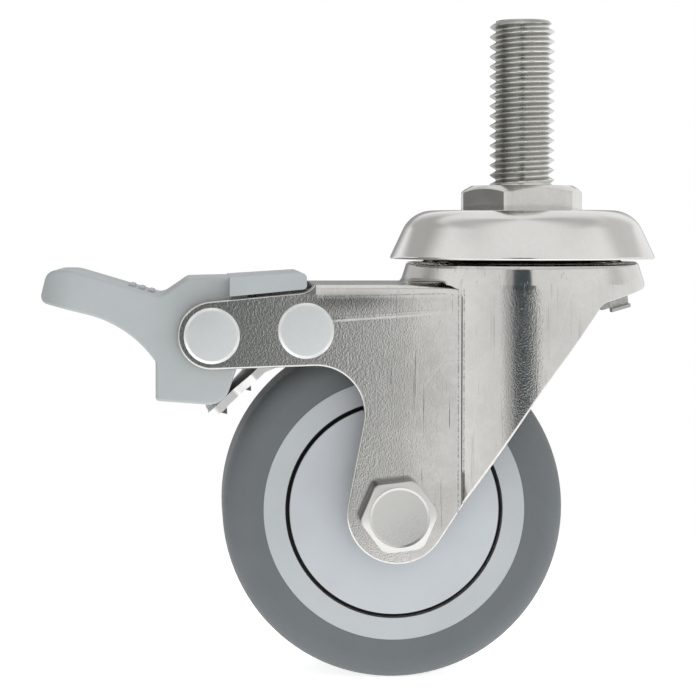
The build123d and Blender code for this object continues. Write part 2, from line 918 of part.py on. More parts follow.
def cheek_outline():
    """Side view of the folded cheek that carries the brake plate on its rivet."""
    cheek = Pos(*shoe_pivot) * Circle(shoe_eye_radius)
    for place, facing in ((shoe_place, 180 + shoe_angle), (lever_place, -lever_slope)):
        cheek += make_face(Polyline(
            polar(shoe_pivot, shoe_eye_radius, facing - 90),
            place(cheek_reach, -brake_sheet / 2),
            place(cheek_reach, brake_sheet / 2),
            polar(shoe_pivot, shoe_eye_radius, facing + 90),
            close=True,
        ))
    return cheek


def shoe_tooth(distance, middle_y):
    """Tooth punched out of the shoe towards the tyre."""
    half = brake_sheet / 2
    side_view = make_face(Polyline(
        shoe_place(distance - shoe_tooth_back, half - shoe_tooth_root),
        shoe_place(distance + shoe_tooth_front, half - shoe_tooth_root),
        shoe_place(distance, half + shoe_tooth_height),
        close=True,
    ))
    return across(side_view, middle_y - shoe_tooth_width / 2, middle_y + shoe_tooth_width / 2)


def shoe_panel(start):
    """Flat panel of the shoe: full width at the cheeks, narrower with round corners at the tip."""
    half = shoe_width / 2
    waist = shoe_shoulder_reach + shoe_shoulder_run
    panel = FilletPolyline(
        (start, -moving_half),
        (shoe_shoulder_reach, -moving_half),
        (waist, -half),
        (shoe_length, -half),
        (shoe_length, half),
        (waist, half),
        (shoe_shoulder_reach, moving_half),
        (start, moving_half),
        radius=[0, 1, 1, shoe_tip_radius, shoe_tip_radius, 1, 1, 0],
        close=True,
    )
    root = shoe_place(0, -brake_sheet / 2)
    facing = polar((0, 0), 1, 180 + shoe_angle)
    normal = polar((0, 0), 1, 270 + shoe_angle)
    plane = Plane(
        origin=(root[0], 0, root[1]),
        x_dir=(facing[0], 0, facing[1]),
        z_dir=(normal[0], 0, normal[1]),
    )
    return extrude(plane * make_face(panel.edges()), brake_sheet)


def brake_plate():
    """Pressed plate: toothed shoe in front, two pivot cheeks and the swivel-lock lever behind."""
    clear = rivet_diameter / 2 + rivet_gap
    shoe_half = shoe_width / 2
    plate = shoe_panel(clear)
    plate += across(strip(lever_place, clear, cheek_reach, brake_sheet), -moving_half, moving_half)
    plate += across(strip(lever_place, clear, lever_end, brake_sheet), -lever_half, lever_half)
    plate += across(
        strip(lever_place, clear, tongue_end, brake_sheet),
        -lock_tongue_width / 2,
        lock_tongue_width / 2,
    )
    cheek = across(cheek_outline(), moving_half - brake_sheet, moving_half)
    plate += cheek + mirrored_across(cheek)
    for row in range(2):
        for column in (-1, 0, 1):
            distance = shoe_tooth_start + row * shoe_tooth_spacing
            plate += shoe_tooth(distance, column * (shoe_width - shoe_tooth_width) / 2)
    lip = make_face(Polyline(
        shoe_place(shoe_length - shoe_lip_root, 0),
        shoe_place(shoe_length, 0),
        shoe_place(shoe_length - shoe_lip_lean, -brake_sheet / 2 - shoe_lip_height),
        shoe_place(shoe_length - shoe_lip_root + shoe_lip_lean, -brake_sheet / 2 - shoe_lip_height),
        close=True,
    ))
    plate += across(lip, -shoe_half / 2, shoe_half / 2)
    return plate - pin_hole(shoe_pivot, pin_bore)


def return_spring():
    """Sheet spring under the crown: two arms press the lock lever down out of the ring."""
    seat = crown_top - fork_sheet
    outer = crown_wall(seat, fork_sheet) - spring_edge_gap
    back = Circle(outer) - Circle(spring_arm_in)
    back &= Pos(outer / 2 + spring_back_start / 2, 0) * Rectangle(
        outer - spring_back_start, 2 * spring_arm_out
    )
    spring = Pos(0, 0, seat - spring_sheet) * extrude(back, spring_sheet)
    lever_top = lever_place(lever_end - spring_tip_overlap, brake_sheet / 2 + spring_tip_gap)
    arm_view = make_face(Polyline(
        (spring_back_start, seat),
        (spring_back_start + spring_root, seat),
        (spring_back_start + spring_root, seat - spring_sheet),
        (lever_top[0], lever_top[1]),
        (lever_top[0], lever_top[1] + spring_sheet),
        close=True,
    ))
    arm = across(arm_view, spring_arm_in, spring_arm_out)
    front = spring_tab_x - spring_tab_width / 2
    rear = spring_tab_x + spring_tab_width / 2
    low = seat - spring_tab_drop
    foot_front = (front + spring_tab_lean, low)
    foot_rear = (rear + spring_tab_lean, low + spring_tab_slant)
    tab_view = make_face(Polyline((front, seat), (rear, seat), foot_rear, foot_front, close=True))
    foot_view = make_face(Polyline(
        foot_front,
        foot_rear,
        (foot_rear[0], foot_rear[1] + spring_sheet),
        (foot_front[0], foot_front[1] + spring_sheet),
        close=True,
    ))
    tab = across(tab_view, spring_tab_y - spring_sheet, spring_tab_y)
    tab += across(foot_view, spring_tab_y - spring_sheet, spring_tab_y + spring_tab_foot)
    return spring + arm + mirrored_across(arm) + tab + mirrored_across(tab)


# ---------------------------------------------------------------------------------------------
# Export
# ---------------------------------------------------------------------------------------------


def group(solids):
    """Separate solids kept in one node."""
    return Compound(children=list(solids))


def all_nodes():
    """Every piece of the castor under its own name."""
    return {
        "threaded_stem": threaded_stem(),
        "top_cap": top_cap(),
        "upper_race": upper_race(),
        "upper_balls": group(
            ball_ring(upper_ball_radius, upper_ball_circle, upper_ball_count, upper_ball_level)
        ),
        "lower_race": lower_race(),
        "lower_balls": group(
            ball_ring(lower_ball_radius, lower_ball_circle, lower_ball_count, lower_ball_level)
        ),
        "swivel_lock_ring": swivel_lock_ring(),
        "kingpin_nut": kingpin_nut(),
        "fork": fork(),
        "tyre": tyre(),
        "wheel_core": wheel_core(),
        "thread_guard_near": thread_guard(-1),
        "thread_guard_far": thread_guard(1),
        "bearing_inner_near": bearing_ring_solid(axle_bore, inner_ring_radius, -1),
        "bearing_inner_far": bearing_ring_solid(axle_bore, inner_ring_radius, 1),
        "bearing_outer_near": bearing_ring_solid(outer_ring_bore, bearing_radius, -1),
        "bearing_outer_far": bearing_ring_solid(outer_ring_bore, bearing_radius, 1),
        "bearing_balls_near": group(bearing_balls(-1)),
        "bearing_balls_far": group(bearing_balls(1)),
        "axle_sleeve": axle_sleeve(),
        "axle_bolt": axle_bolt(),
        "axle_nut": axle_nut(),
        "pedal_rivet": rivet(pedal_pivot),
        "shoe_rivet": rivet(shoe_pivot),
        "brake_pedal": brake_pedal(),
        "brake_plate": brake_plate(),
        "return_spring": return_spring(),
    }


os.makedirs("parts", exist_ok=True)
for name, piece in all_nodes().items():
    export_step(piece, f"parts/{name}.step")
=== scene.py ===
"""Dressed model of a small stainless swivel castor with a total-lock foot brake.

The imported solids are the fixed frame. This script gives every node its finish, cuts the threads,
forms the turned and headed pieces as smooth surfaces, and sets the castor in a plain pale studio.
Blender's lengths are metres; the dataclasses below hold millimetres, and degrees where they say so.
"""

from __future__ import annotations

import logging
import math
from dataclasses import dataclass
from enum import Enum
from functools import reduce

import bpy
import numpy as np
from mathutils import Matrix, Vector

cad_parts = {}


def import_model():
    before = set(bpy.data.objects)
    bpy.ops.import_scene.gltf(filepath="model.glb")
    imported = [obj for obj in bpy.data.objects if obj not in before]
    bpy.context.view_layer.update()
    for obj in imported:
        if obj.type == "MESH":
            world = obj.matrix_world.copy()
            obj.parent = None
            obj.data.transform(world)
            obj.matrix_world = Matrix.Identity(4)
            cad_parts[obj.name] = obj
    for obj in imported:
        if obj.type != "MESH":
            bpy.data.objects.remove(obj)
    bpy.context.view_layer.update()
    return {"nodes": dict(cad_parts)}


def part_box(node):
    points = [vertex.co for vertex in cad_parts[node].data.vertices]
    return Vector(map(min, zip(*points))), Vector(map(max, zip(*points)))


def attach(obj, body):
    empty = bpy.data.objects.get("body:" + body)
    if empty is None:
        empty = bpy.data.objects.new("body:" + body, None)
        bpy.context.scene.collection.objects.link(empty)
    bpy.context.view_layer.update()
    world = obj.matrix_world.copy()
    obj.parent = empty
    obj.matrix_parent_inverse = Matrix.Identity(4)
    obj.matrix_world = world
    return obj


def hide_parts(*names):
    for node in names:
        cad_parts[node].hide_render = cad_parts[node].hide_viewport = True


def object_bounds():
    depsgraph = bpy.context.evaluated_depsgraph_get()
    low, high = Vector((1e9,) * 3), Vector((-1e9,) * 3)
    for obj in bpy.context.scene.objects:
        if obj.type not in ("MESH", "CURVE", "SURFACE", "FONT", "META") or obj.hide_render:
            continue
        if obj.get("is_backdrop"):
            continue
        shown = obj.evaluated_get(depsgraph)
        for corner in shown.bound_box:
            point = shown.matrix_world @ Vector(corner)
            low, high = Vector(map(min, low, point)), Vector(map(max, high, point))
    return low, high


LOG = logging.getLogger("castor")
MM = 0.001
PER_METRE = 1000.0
FULL_TURN = 2 * math.pi
# Half the fork's width over its side plates, in millimetres.
PLATE_FACE = 15.0
# Angles above which an edge stays sharp.
SHARP_DEG, HEXAGON_SHARP_DEG, THREAD_SHARP_DEG = 35.0, 22.0, 50.0
# Points closer than this, in metres, are welded.
WELD = 1e-7
# Limits that keep a straight corner's arc finite: its cosine, and the length of its bisector.
STRAIGHT, SHORT = 0.99999, 1e-9

Socket = bpy.types.NodeSocket
Piece = bpy.types.Object
Pair = tuple[float, float]
Triple = tuple[float, float, float]


class Body(str, Enum):
    """The rigid bodies that the new pieces ride on."""

    HEAD = "head"
    FORK = "fork"


class Turning(Enum):
    """Which way the axis of a turned piece lies."""

    UPRIGHT = "z"
    ALONG_AXLE = "y"


@dataclass(frozen=True)
class Extent:
    """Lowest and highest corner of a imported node."""

    low: Triple
    high: Triple

    @classmethod
    def of(cls, node: str) -> Extent:
        """The named node's box, read from the frame."""
        return cls(*(tuple(value / MM for value in corner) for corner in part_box(node)))

    @property
    def side_centre(self) -> Pair:
        """Middle of the box in the side plane, as (x, z)."""
        return (self.low[0] + self.high[0]) / 2, (self.low[2] + self.high[2]) / 2

    @property
    def size(self) -> Triple:
        """Lengths of the box's sides."""
        return tuple(high - low for low, high in zip(self.low, self.high))


# --- Surfaces as arrays ---


def round_corners(corners: np.ndarray, radii: np.ndarray, steps: int) -> np.ndarray:
    """Rounds each corner of closed profiles with an arc tangent to both sides.

    The arc's centre lies on the corner's bisector, and the arc is a blend of its two end
    directions weighted by sines, so it is a true circle.

    Args:
        corners: Closed outlines as (columns, corners, 2).
        radii: Corner radii, one per corner.
        steps: Points on each arc.

    Returns:
        The rounded outlines as (columns, corners * steps, 2).
    """
    before = np.roll(corners, 1, axis=1) - corners
    after = np.roll(corners, -1, axis=1) - corners
    before /= np.linalg.norm(before, axis=2, keepdims=True)
    after /= np.linalg.norm(after, axis=2, keepdims=True)
    cosine = np.clip((before * after).sum(2), -STRAIGHT, STRAIGHT)
    half = np.arccos(cosine)[..., None] / 2
    reach = radii[None, :, None] / np.tan(half)
    bisector = before + after
    bisector /= np.maximum(np.linalg.norm(bisector, axis=2, keepdims=True), SHORT)
    centre = corners + bisector * radii[None, :, None] / np.sin(half)
    sweep = (math.pi - 2 * half)[:, :, None, :]
    share = np.linspace(0.0, 1.0, steps)[None, None, :, None]
    to_start = (corners + before * reach - centre)[:, :, None, :]
    to_end = (corners + after * reach - centre)[:, :, None, :]
    toward = to_start * np.sin((1 - share) * sweep) + to_end * np.sin(share * sweep)
    arcs = centre[:, :, None, :] + toward / np.sin(sweep)
    return arcs.reshape(corners.shape[0], -1, 2)


def turns(columns: int) -> np.ndarray:
    """Angle of each column round an axis, in radians."""
    return np.arange(columns) / columns * FULL_TURN


def swept_round(profile: np.ndarray, columns: int) -> np.ndarray:
    """Carries a profile of (radius, height) round the Z axis.

    Args:
        profile: One outline (1, points, 2), or one for each column (columns, points, 2).
        columns: Number of columns round the axis.

    Returns:
        Points as (columns, points, 3): (r cos a, r sin a, h) with a = full turn * column share.
    """
    turn = turns(columns)[:, None]
    radius, height = (np.broadcast_to(profile[..., axis], (columns, profile.shape[1]))
                      for axis in (0, 1))
    return np.stack([radius * np.cos(turn), radius * np.sin(turn), height], axis=2)


def placed(points: np.ndarray, turning: Turning, centre: Pair) -> np.ndarray:
    """Lays a turned surface in its place.

    Args:
        points: Surface points about the Z axis.
        turning: Direction of the axis; along the axle, height becomes Y and X stays.
        centre: The axis's (x, z) in the side plane; ignored for an upright piece.

    Returns:
        The moved points.
    """
    if turning is Turning.UPRIGHT:
        return points
    x, y, z = points[..., 0], points[..., 1], points[..., 2]
    return np.stack([x + centre[0], z, centre[1] - y], axis=-1)


def surface_object(name: str, points: np.ndarray, closed_rows: bool = True,
                   sharp_deg: float = SHARP_DEG) -> Piece:
    """Makes a mesh object from a grid of points whose last column meets the first.

    Neighbouring columns and rows span one quad each; rows that shrink to a point are welded, and
    the faces are turned outward where the enclosed volume comes out negative.

    Args:
        name: Object name.
        points: Grid of points (columns, rows, 3).
        closed_rows: Whether the last row meets the first.
        sharp_deg: Angle above which an edge stays sharp.

    Returns:
        The linked object, at the origin.
    """
    columns, rows = points.shape[:2]
    flat = points.reshape(-1, 3) * MM
    index = np.arange(columns * rows).reshape(columns, rows)
    full = np.concatenate([index, index[:1]], axis=0)
    if closed_rows:
        full = np.concatenate([full, full[:, :1]], axis=1)
    quads = np.stack([full[:-1, :-1], full[1:, :-1], full[1:, 1:], full[:-1, 1:]], axis=2)
    keys = np.round(flat / WELD).astype(np.int64)
    _, first, welded = np.unique(keys, axis=0, return_index=True, return_inverse=True)
    flat = flat[first]
    quads = welded.reshape(-1)[quads.reshape(-1, 4)]
    a, b, c, d = (flat[quads[:, corner]] for corner in range(4))
    if (a * np.cross(b, c)).sum() + (a * np.cross(c, d)).sum() < 0:
        quads = quads[:, ::-1]
    same_next = quads == np.roll(quads, -1, axis=1)
    short = quads[same_next.sum(1) == 1]
    triangles = short[~(short == np.roll(short, -1, axis=1))].reshape(-1, 3)
    mesh = bpy.data.meshes.new(name)
    mesh.from_pydata(flat.tolist(), [], quads[~same_next.any(1)].tolist() + triangles.tolist())
    mesh.validate()
    mesh.polygons.foreach_set("use_smooth", np.ones(len(mesh.polygons), bool))
    mesh.set_sharp_from_angle(angle=math.radians(sharp_deg))
    mesh.update()
    obj = bpy.data.objects.new(name, mesh)
    bpy.context.scene.collection.objects.link(obj)
    return obj


def turned_piece(name: str, corners: list[Triple], turning: Turning = Turning.UPRIGHT,
                 centre: Pair = (0.0, 0.0), columns: int = 160, steps: int = 5) -> Piece:
    """Turned piece: a closed outline with rounded corners carried round its axis.

    Args:
        name: Object name.
        corners: Closed outline as (radius, height, rounding) for each corner.
        turning: Direction of the axis.
        centre: Place of the axis in the side plane, for a piece along the axle.
        columns: Columns round the axis.
        steps: Points on each rounding.

    Returns:
        The new object.
    """
    table = np.array(corners, float)
    profile = round_corners(table[None, :, :2].copy(), table[:, 2], steps)
    profile[..., 0] = np.maximum(profile[..., 0], 0.0)
    return surface_object(name, placed(swept_round(profile, columns), turning, centre))


def hexagon_radius(turn: np.ndarray, across_flats: float, blunt: float) -> np.ndarray:
    """Radius of a hexagon at each angle, with its corners cut off flat.

    Within 30 degrees of a flat's middle the radius is half the width over the cosine of that
    angle; near a corner it is the cut's distance over the cosine of the angle from the corner.

    Args:
        turn: Angles in radians, where zero is a corner.
        across_flats: Width across the flats.
        blunt: How far the corner is cut back.

    Returns:
        The radii.
    """
    sixth = FULL_TURN / 6
    off_flat = np.mod(turn, sixth) - sixth / 2
    sharp = across_flats / 2 / np.cos(off_flat)
    cut = (across_flats / math.sqrt(3) - blunt) / np.cos(sixth / 2 - np.abs(off_flat))
    return np.minimum(sharp, cut)


@dataclass(frozen=True)
class HexForm:
    """A hexagonal head or nut standing on height zero, with flat discs where its chamfers end."""

    across_flats: float
    height: float
    bore: float
    turn_deg: float
    disc: float
    disc_sink: float = 0.0
    disc_rim: float = 0.35
    disc_edge: float = 0.1
    lower_disc: float = 0.0
    chamfer_deg: float = 30.0
    edge: float = 0.14
    foot_edge: float = 0.05
    foot_round: float = 0.02
    blunt: float = 0.16

    def surface(self, columns: int = 240, steps: int = 4) -> np.ndarray:
        """Surface of the hexagon as one profile for each column.

        The side stands at the hexagon's radius; a cone from the flat disc's edge cuts it, so the
        side ends lower where the radius is larger, which leaves the curved chamfer lines.

        Args:
            columns: Columns round the axis, a multiple of six.
            steps: Points on each rounded edge.

        Returns:
            Points (columns, rows, 3) about the Z axis.
        """
        turn = turns(columns) - math.radians(self.turn_deg)
        side = hexagon_radius(turn, self.across_flats, self.blunt)
        slope = math.tan(math.radians(self.chamfer_deg))
        foot, foot_level = self.across_flats / 2 - self.foot_edge, 0.0
        if self.lower_disc:
            foot, foot_level = self.lower_disc, (side - self.lower_disc) * slope
        sunk = self.height - self.disc_sink
        corners = [(self.bore, 0.0), (foot, 0.0), (side, foot_level),
                   (side, self.height - (side - self.disc) * slope), (self.disc, self.height),
                   (self.disc - self.disc_rim, sunk), (self.bore, sunk)]
        radii = [0.0, self.foot_round, self.foot_edge, self.edge, self.edge, self.disc_edge, 0.0]
        profile = np.stack([np.stack(np.broadcast_arrays(*corner, side)[:2], axis=1)
                            for corner in corners], axis=1)
        return swept_round(round_corners(profile, np.array(radii), steps), columns)


@dataclass(frozen=True)
class Thread:
    """A coarse screw thread on a rod."""

    radius: float
    pitch: float
    low: float
    high: float
    chamfer: float
    depth_share: float = 0.6134
    run_out: float = 0.5
    crest_shift: float = 0.4
    crest_start: float = 0.94
    flank_share: float = 0.78
    softness: float = 0.28

    def surface(self, columns: int = 96, per_turn: int = 16) -> np.ndarray:
        """Surface of the threaded rod with flat ends.

        At each height and angle the phase is height over pitch less the turn, plus a shift that
        turns the crests to their place. The depth is a trapezoid of that phase: a narrow flat
        crest, straight flanks and a wider root, softened by a smooth step. A cone at the upper end
        limits the radius.

        Args:
            columns: Columns round the axis.
            per_turn: Rows in one pitch.

        Returns:
            Points (columns, rows, 3) about the Z axis, the first and last rows on the axis.
        """
        rows = int(round((self.high - self.low) / self.pitch * per_turn)) + 1
        height = np.linspace(self.low, self.high, rows)[None, :]
        turn = turns(columns)[:, None]
        phase = np.mod(height / self.pitch - turn / FULL_TURN + self.crest_shift, 1.0)
        from_root = np.abs(phase - 0.5) * 2
        flank = np.clip((self.crest_start - from_root) / self.flank_share, 0.0, 1.0)
        eased = (1 - self.softness) * flank + self.softness * flank**2 * (3 - 2 * flank)
        fade = np.clip((height - self.low) / self.run_out, 0.0, 1.0)
        radius = self.radius - self.pitch * self.depth_share * eased * fade
        cone = self.radius - self.chamfer + (self.high - height)
        radius = np.minimum(radius, np.minimum(cone, self.radius))
        grid = np.stack([radius * np.cos(turn), radius * np.sin(turn), height + 0 * turn], axis=2)
        ends = grid[:, [0, -1]] * (0.0, 0.0, 1.0)
        return np.concatenate([ends[:, :1], grid, ends[:, 1:]], axis=1)


# --- Shader groups and finishes ---


def rgba(colour: Triple, factor: float = 1.0) -> tuple[float, float, float, float]:
    """The colour times a factor, with full alpha."""
    return (colour[0] * factor, colour[1] * factor, colour[2] * factor, 1.0)


def grey(level: float) -> tuple[float, float, float, float]:
    """A neutral colour of the given level."""
    return (level, level, level, 1.0)


class Bench:
    """Small helper that lays nodes in one tree and joins them."""

    def __init__(self, tree: bpy.types.NodeTree) -> None:
        """Keeps the tree that nodes are laid in."""
        self.tree = tree

    def feed(self, target: bpy.types.Node, **values: object) -> None:
        """Joins sockets to a node's inputs, or sets the inputs' values.

        Args:
            target: The node.
            values: Sockets or values, named by input (underscores for spaces) or by its number.
        """
        for key, value in values.items():
            name = key.removeprefix("in_")
            socket = target.inputs[int(name) if name.isdigit() else name.replace("_", " ")]
            if isinstance(value, Socket):
                self.tree.links.new(value, socket)
            else:
                socket.default_value = value

    def node(self, kind: str, **settings: object) -> bpy.types.Node:
        """Adds a node.

        Args:
            kind: Blender's node type name.
            settings: Node properties, and inputs written as in_NAME or in_NUMBER.

        Returns:
            The node.
        """
        made = self.tree.nodes.new(kind)
        for key, value in settings.items():
            if key.startswith("in_"):
                self.feed(made, **{key: value})
            else:
                setattr(made, key, value)
        return made

    def maths(self, operation: str, first: Socket | float, second: Socket | float = 0.0) -> Socket:
        """Result of a Math node on sockets or numbers."""
        return self.node("ShaderNodeMath", operation=operation, in_0=first, in_1=second).outputs[0]

    def product(self, *factors: Socket | float) -> Socket:
        """Product of sockets and numbers, in their order."""
        return reduce(lambda sofar, factor: self.maths("MULTIPLY", sofar, factor), factors)

    def minus(self, first: Socket, second: Socket | float) -> Socket:
        """What is left of the first after the second is taken away."""
        return self.maths("SUBTRACT", first, second)

    def apart(self, first: Socket, second: Socket | float = 0.0) -> Socket:
        """How far two values lie apart, or one from zero."""
        return self.maths("ABSOLUTE", self.minus(first, second))

    def length(self, first: Socket, second: Socket) -> Socket:
        """Root of the sum of two squares."""
        squares = self.maths("ADD", self.product(first, first), self.product(second, second))
        return self.maths("SQRT", squares)

    def ramp(self, source: Socket, low: float, high: float, low_value: float = 0.0,
             high_value: float = 1.0) -> Socket:
        """Maps a value smoothly from low_value at low to high_value at high, and holds it beyond."""
        return self.node("ShaderNodeMapRange", interpolation_type="SMOOTHSTEP", in_Value=source,
                         in_From_Min=low, in_From_Max=high, in_To_Min=low_value,
                         in_To_Max=high_value).outputs["Result"]

    def fall(self, source: Socket, low: float, high: float) -> Socket:
        """One at and under low, falling smoothly to zero at high."""
        return self.ramp(source, low, high, 1.0, 0.0)

    def near(self, source: Socket, middle: float, half: float) -> Socket:
        """One where the value is the middle, falling smoothly to zero half away from it."""
        return self.fall(self.apart(source, middle), 0.0, half)

    def window(self, source: Socket, start: float, end: float, soft: float) -> Socket:
        """One between start and end, with edges that fade from soft before to soft beyond them."""
        return self.product(self.ramp(source, start - soft, start + soft),
                            self.fall(source, end - soft, end + soft))

    def blend(self, mask: Socket, under: object, over: object) -> Socket:
        """Mixes two colours, as sockets or RGBA values: under at mask zero, over at mask one."""
        return self.node("ShaderNodeMix", data_type="RGBA", in_Factor=mask, in_6=under,
                         in_7=over).outputs[2]

    def split(self, vector: Socket, factor: float = 1.0) -> list[Socket]:
        """X, Y and Z of a vector times a factor."""
        scaled = self.node("ShaderNodeVectorMath", operation="SCALE", in_0=vector, in_Scale=factor)
        return list(self.node("ShaderNodeSeparateXYZ", in_0=scaled.outputs[0]).outputs)


class Effect(str, Enum):
    """Surface effects shared by several finishes, each one shader group."""

    SPECKLE = "tumbled_speckle"
    DRAWN = "drawn_streaks"
    PATCH = "broad_patches"
    SCRATCH = "fine_scratches"
    RING = "ring_about_the_axle"


class GroupBench(Bench):
    """A new shader group with a Vector input, float inputs and the outputs Mask and Height."""

    def __init__(self, effect: Effect, **values: float) -> None:
        """Starts the group.

        Args:
            effect: Which effect the group is for.
            values: Defaults of its float inputs, with spaces written as underscores.
        """
        super().__init__(bpy.data.node_groups.new(effect.value, "ShaderNodeTree"))
        self.effect = effect
        add = self.tree.interface.new_socket
        add("Vector", in_out="INPUT", socket_type="NodeSocketVector")
        for key, value in values.items():
            made = add(key.replace("_", " "), in_out="INPUT", socket_type="NodeSocketFloat")
            made.default_value = value
        for name in ("Mask", "Height"):
            add(name, in_out="OUTPUT", socket_type="NodeSocketFloat")
        self.given = self.node("NodeGroupInput").outputs
        self.place = self.given["Vector"]

    def noise(self, per_mm: Socket, detail: float, roughness: float = 0.5,
              place: Socket | None = None) -> Socket:
        """Value of a noise with its waves per millimetre, read at a place or at the group's Vector."""
        return self.node("ShaderNodeTexNoise", in_Detail=detail, in_Roughness=roughness,
                         in_Vector=self.place if place is None else place,
                         in_Scale=self.product(per_mm, PER_METRE)).outputs["Fac"]


class EffectShelf:
    """Builds each shared shader group once and hands it out."""

    def __init__(self) -> None:
        """Builds every group."""
        self.groups: dict[Effect, bpy.types.NodeTree] = {}
        for make in (self.speckle, self.drawn, self.patch, self.scratch, self.ring):
            make()

    def put(self, group: GroupBench, mask: Socket, height: Socket) -> None:
        """Joins a group's outputs and puts it on the shelf."""
        group.node("NodeGroupOutput", in_Mask=mask, in_Height=height)
        self.groups[group.effect] = group.tree

    def speckle(self) -> None:
        """Pebbled grain of a tumbled sheet: two noises of close size multiplied together."""
        group = GroupBench(Effect.SPECKLE, Grain_per_mm=3.0)
        per_mm = group.given["Grain per mm"]
        fine = group.noise(per_mm, detail=2.0, roughness=0.55)
        wide = group.noise(group.product(per_mm, 0.37), detail=1.0)
        self.put(group, group.ramp(group.product(fine, wide), low=0.16, high=0.38), fine)

    def drawn(self) -> None:
        """Streaks left by drawing the sheet: noise squeezed across and stretched up Z."""
        group = GroupBench(Effect.DRAWN, Streaks_per_mm=4.0, Stretch=0.05)
        squeeze = group.node("ShaderNodeCombineXYZ", in_X=1.0, in_Y=1.0,
                             in_Z=group.given["Stretch"])
        along = group.node("ShaderNodeVectorMath", operation="MULTIPLY", in_0=group.place,
                           in_1=squeeze.outputs[0])
        noise = group.noise(group.given["Streaks per mm"], detail=3.0, roughness=0.6,
                            place=along.outputs[0])
        self.put(group, group.ramp(noise, low=0.42, high=0.66), noise)

    def patch(self) -> None:
        """Broad soft patches of a few millimetres."""
        group = GroupBench(Effect.PATCH, Patches_per_mm=0.15)
        noise = group.noise(group.given["Patches per mm"], detail=3.0, roughness=0.55)
        self.put(group, group.ramp(noise, low=0.36, high=0.64), noise)

    def scratch(self) -> None:
        """Sparse thin scratches: the edges of stretched cells, kept where a noise is high."""
        group = GroupBench(Effect.SCRATCH, Cells_per_mm=0.35, Width=0.02)
        per_mm = group.given["Cells per mm"]
        turned = group.node("ShaderNodeMapping", in_Vector=group.place, in_Rotation=(0.4, 0.9, 0.3),
                            in_Scale=(1.0, 1.0, 0.22)).outputs[0]
        cells = group.node("ShaderNodeTexVoronoi", feature="DISTANCE_TO_EDGE", in_Vector=turned,
                           in_Scale=group.product(per_mm, PER_METRE))
        keep = group.noise(group.product(per_mm, 0.6), detail=1.0, place=turned)
        thin = group.maths("LESS_THAN", cells.outputs["Distance"], group.given["Width"])
        mark = group.product(thin, group.maths("GREATER_THAN", keep, 0.6))
        self.put(group, mark, group.product(mark, -1.0))

    def ring(self) -> None:
        """Ring between two radii about the wheel's axle, soft by a few hundredths of a millimetre."""
        group = GroupBench(Effect.RING, Inner_mm=15.0, Outer_mm=16.0)
        x, _, z = group.split(group.place, PER_METRE)
        axle = Extent.of("axle_bolt").side_centre
        radius = group.length(group.minus(x, axle[0]), group.minus(z, axle[1]))
        past = group.minus(radius, group.given["Inner mm"])
        left = group.minus(group.given["Outer mm"], radius)
        edges = (group.ramp(gap, low=-0.03, high=0.03) for gap in (past, left))
        self.put(group, group.product(*edges), radius)


class MaterialBench(Bench):
    """A new material with its Principled shader, Object coordinates, and colour and normal so far."""

    def __init__(self, name: str, shelf: EffectShelf | None = None) -> None:
        """Makes the material's tree.

        Args:
            name: Material name.
            shelf: Shared shader groups, where the material uses them.
        """
        self.material = bpy.data.materials.new(name)
        self.material.use_nodes = True
        super().__init__(self.material.node_tree)
        self.shelf = shelf
        self.shader = self.tree.nodes["Principled BSDF"]
        self.place = self.node("ShaderNodeTexCoord").outputs["Object"]
        self.tone: Socket | None = None
        self.normal: Socket | None = None

    def position(self) -> list[Socket]:
        """X, Y and Z on the piece, in millimetres."""
        return self.split(self.place, PER_METRE)

    def effect(self, effect: Effect, **values: float) -> bpy.types.bpy_prop_collection:
        """Places a shared group.

        Args:
            effect: Which group.
            values: Its inputs, with spaces written as underscores.

        Returns:
            The group node's outputs.
        """
        made = self.node("ShaderNodeGroup", node_tree=self.shelf.groups[effect], in_Vector=self.place)
        self.feed(made, **values)
        return made.outputs

    def tint(self, mask: Socket, colour: object) -> None:
        """Lays a colour over the colour so far where the mask is one."""
        self.tone = self.blend(mask, self.tone, colour)

    def emboss(self, height: Socket, distance_mm: float, strength: float = 1.0) -> None:
        """Lays a bump over the normal so far.

        Args:
            height: Height socket.
            distance_mm: Height in millimetres for a change of one.
            strength: Share of the bump that is used.
        """
        made = self.node("ShaderNodeBump", in_Strength=strength, in_Distance=distance_mm * MM,
                         in_Height=height)
        if self.normal is not None:
            self.feed(made, Normal=self.normal)
        self.normal = made.outputs["Normal"]


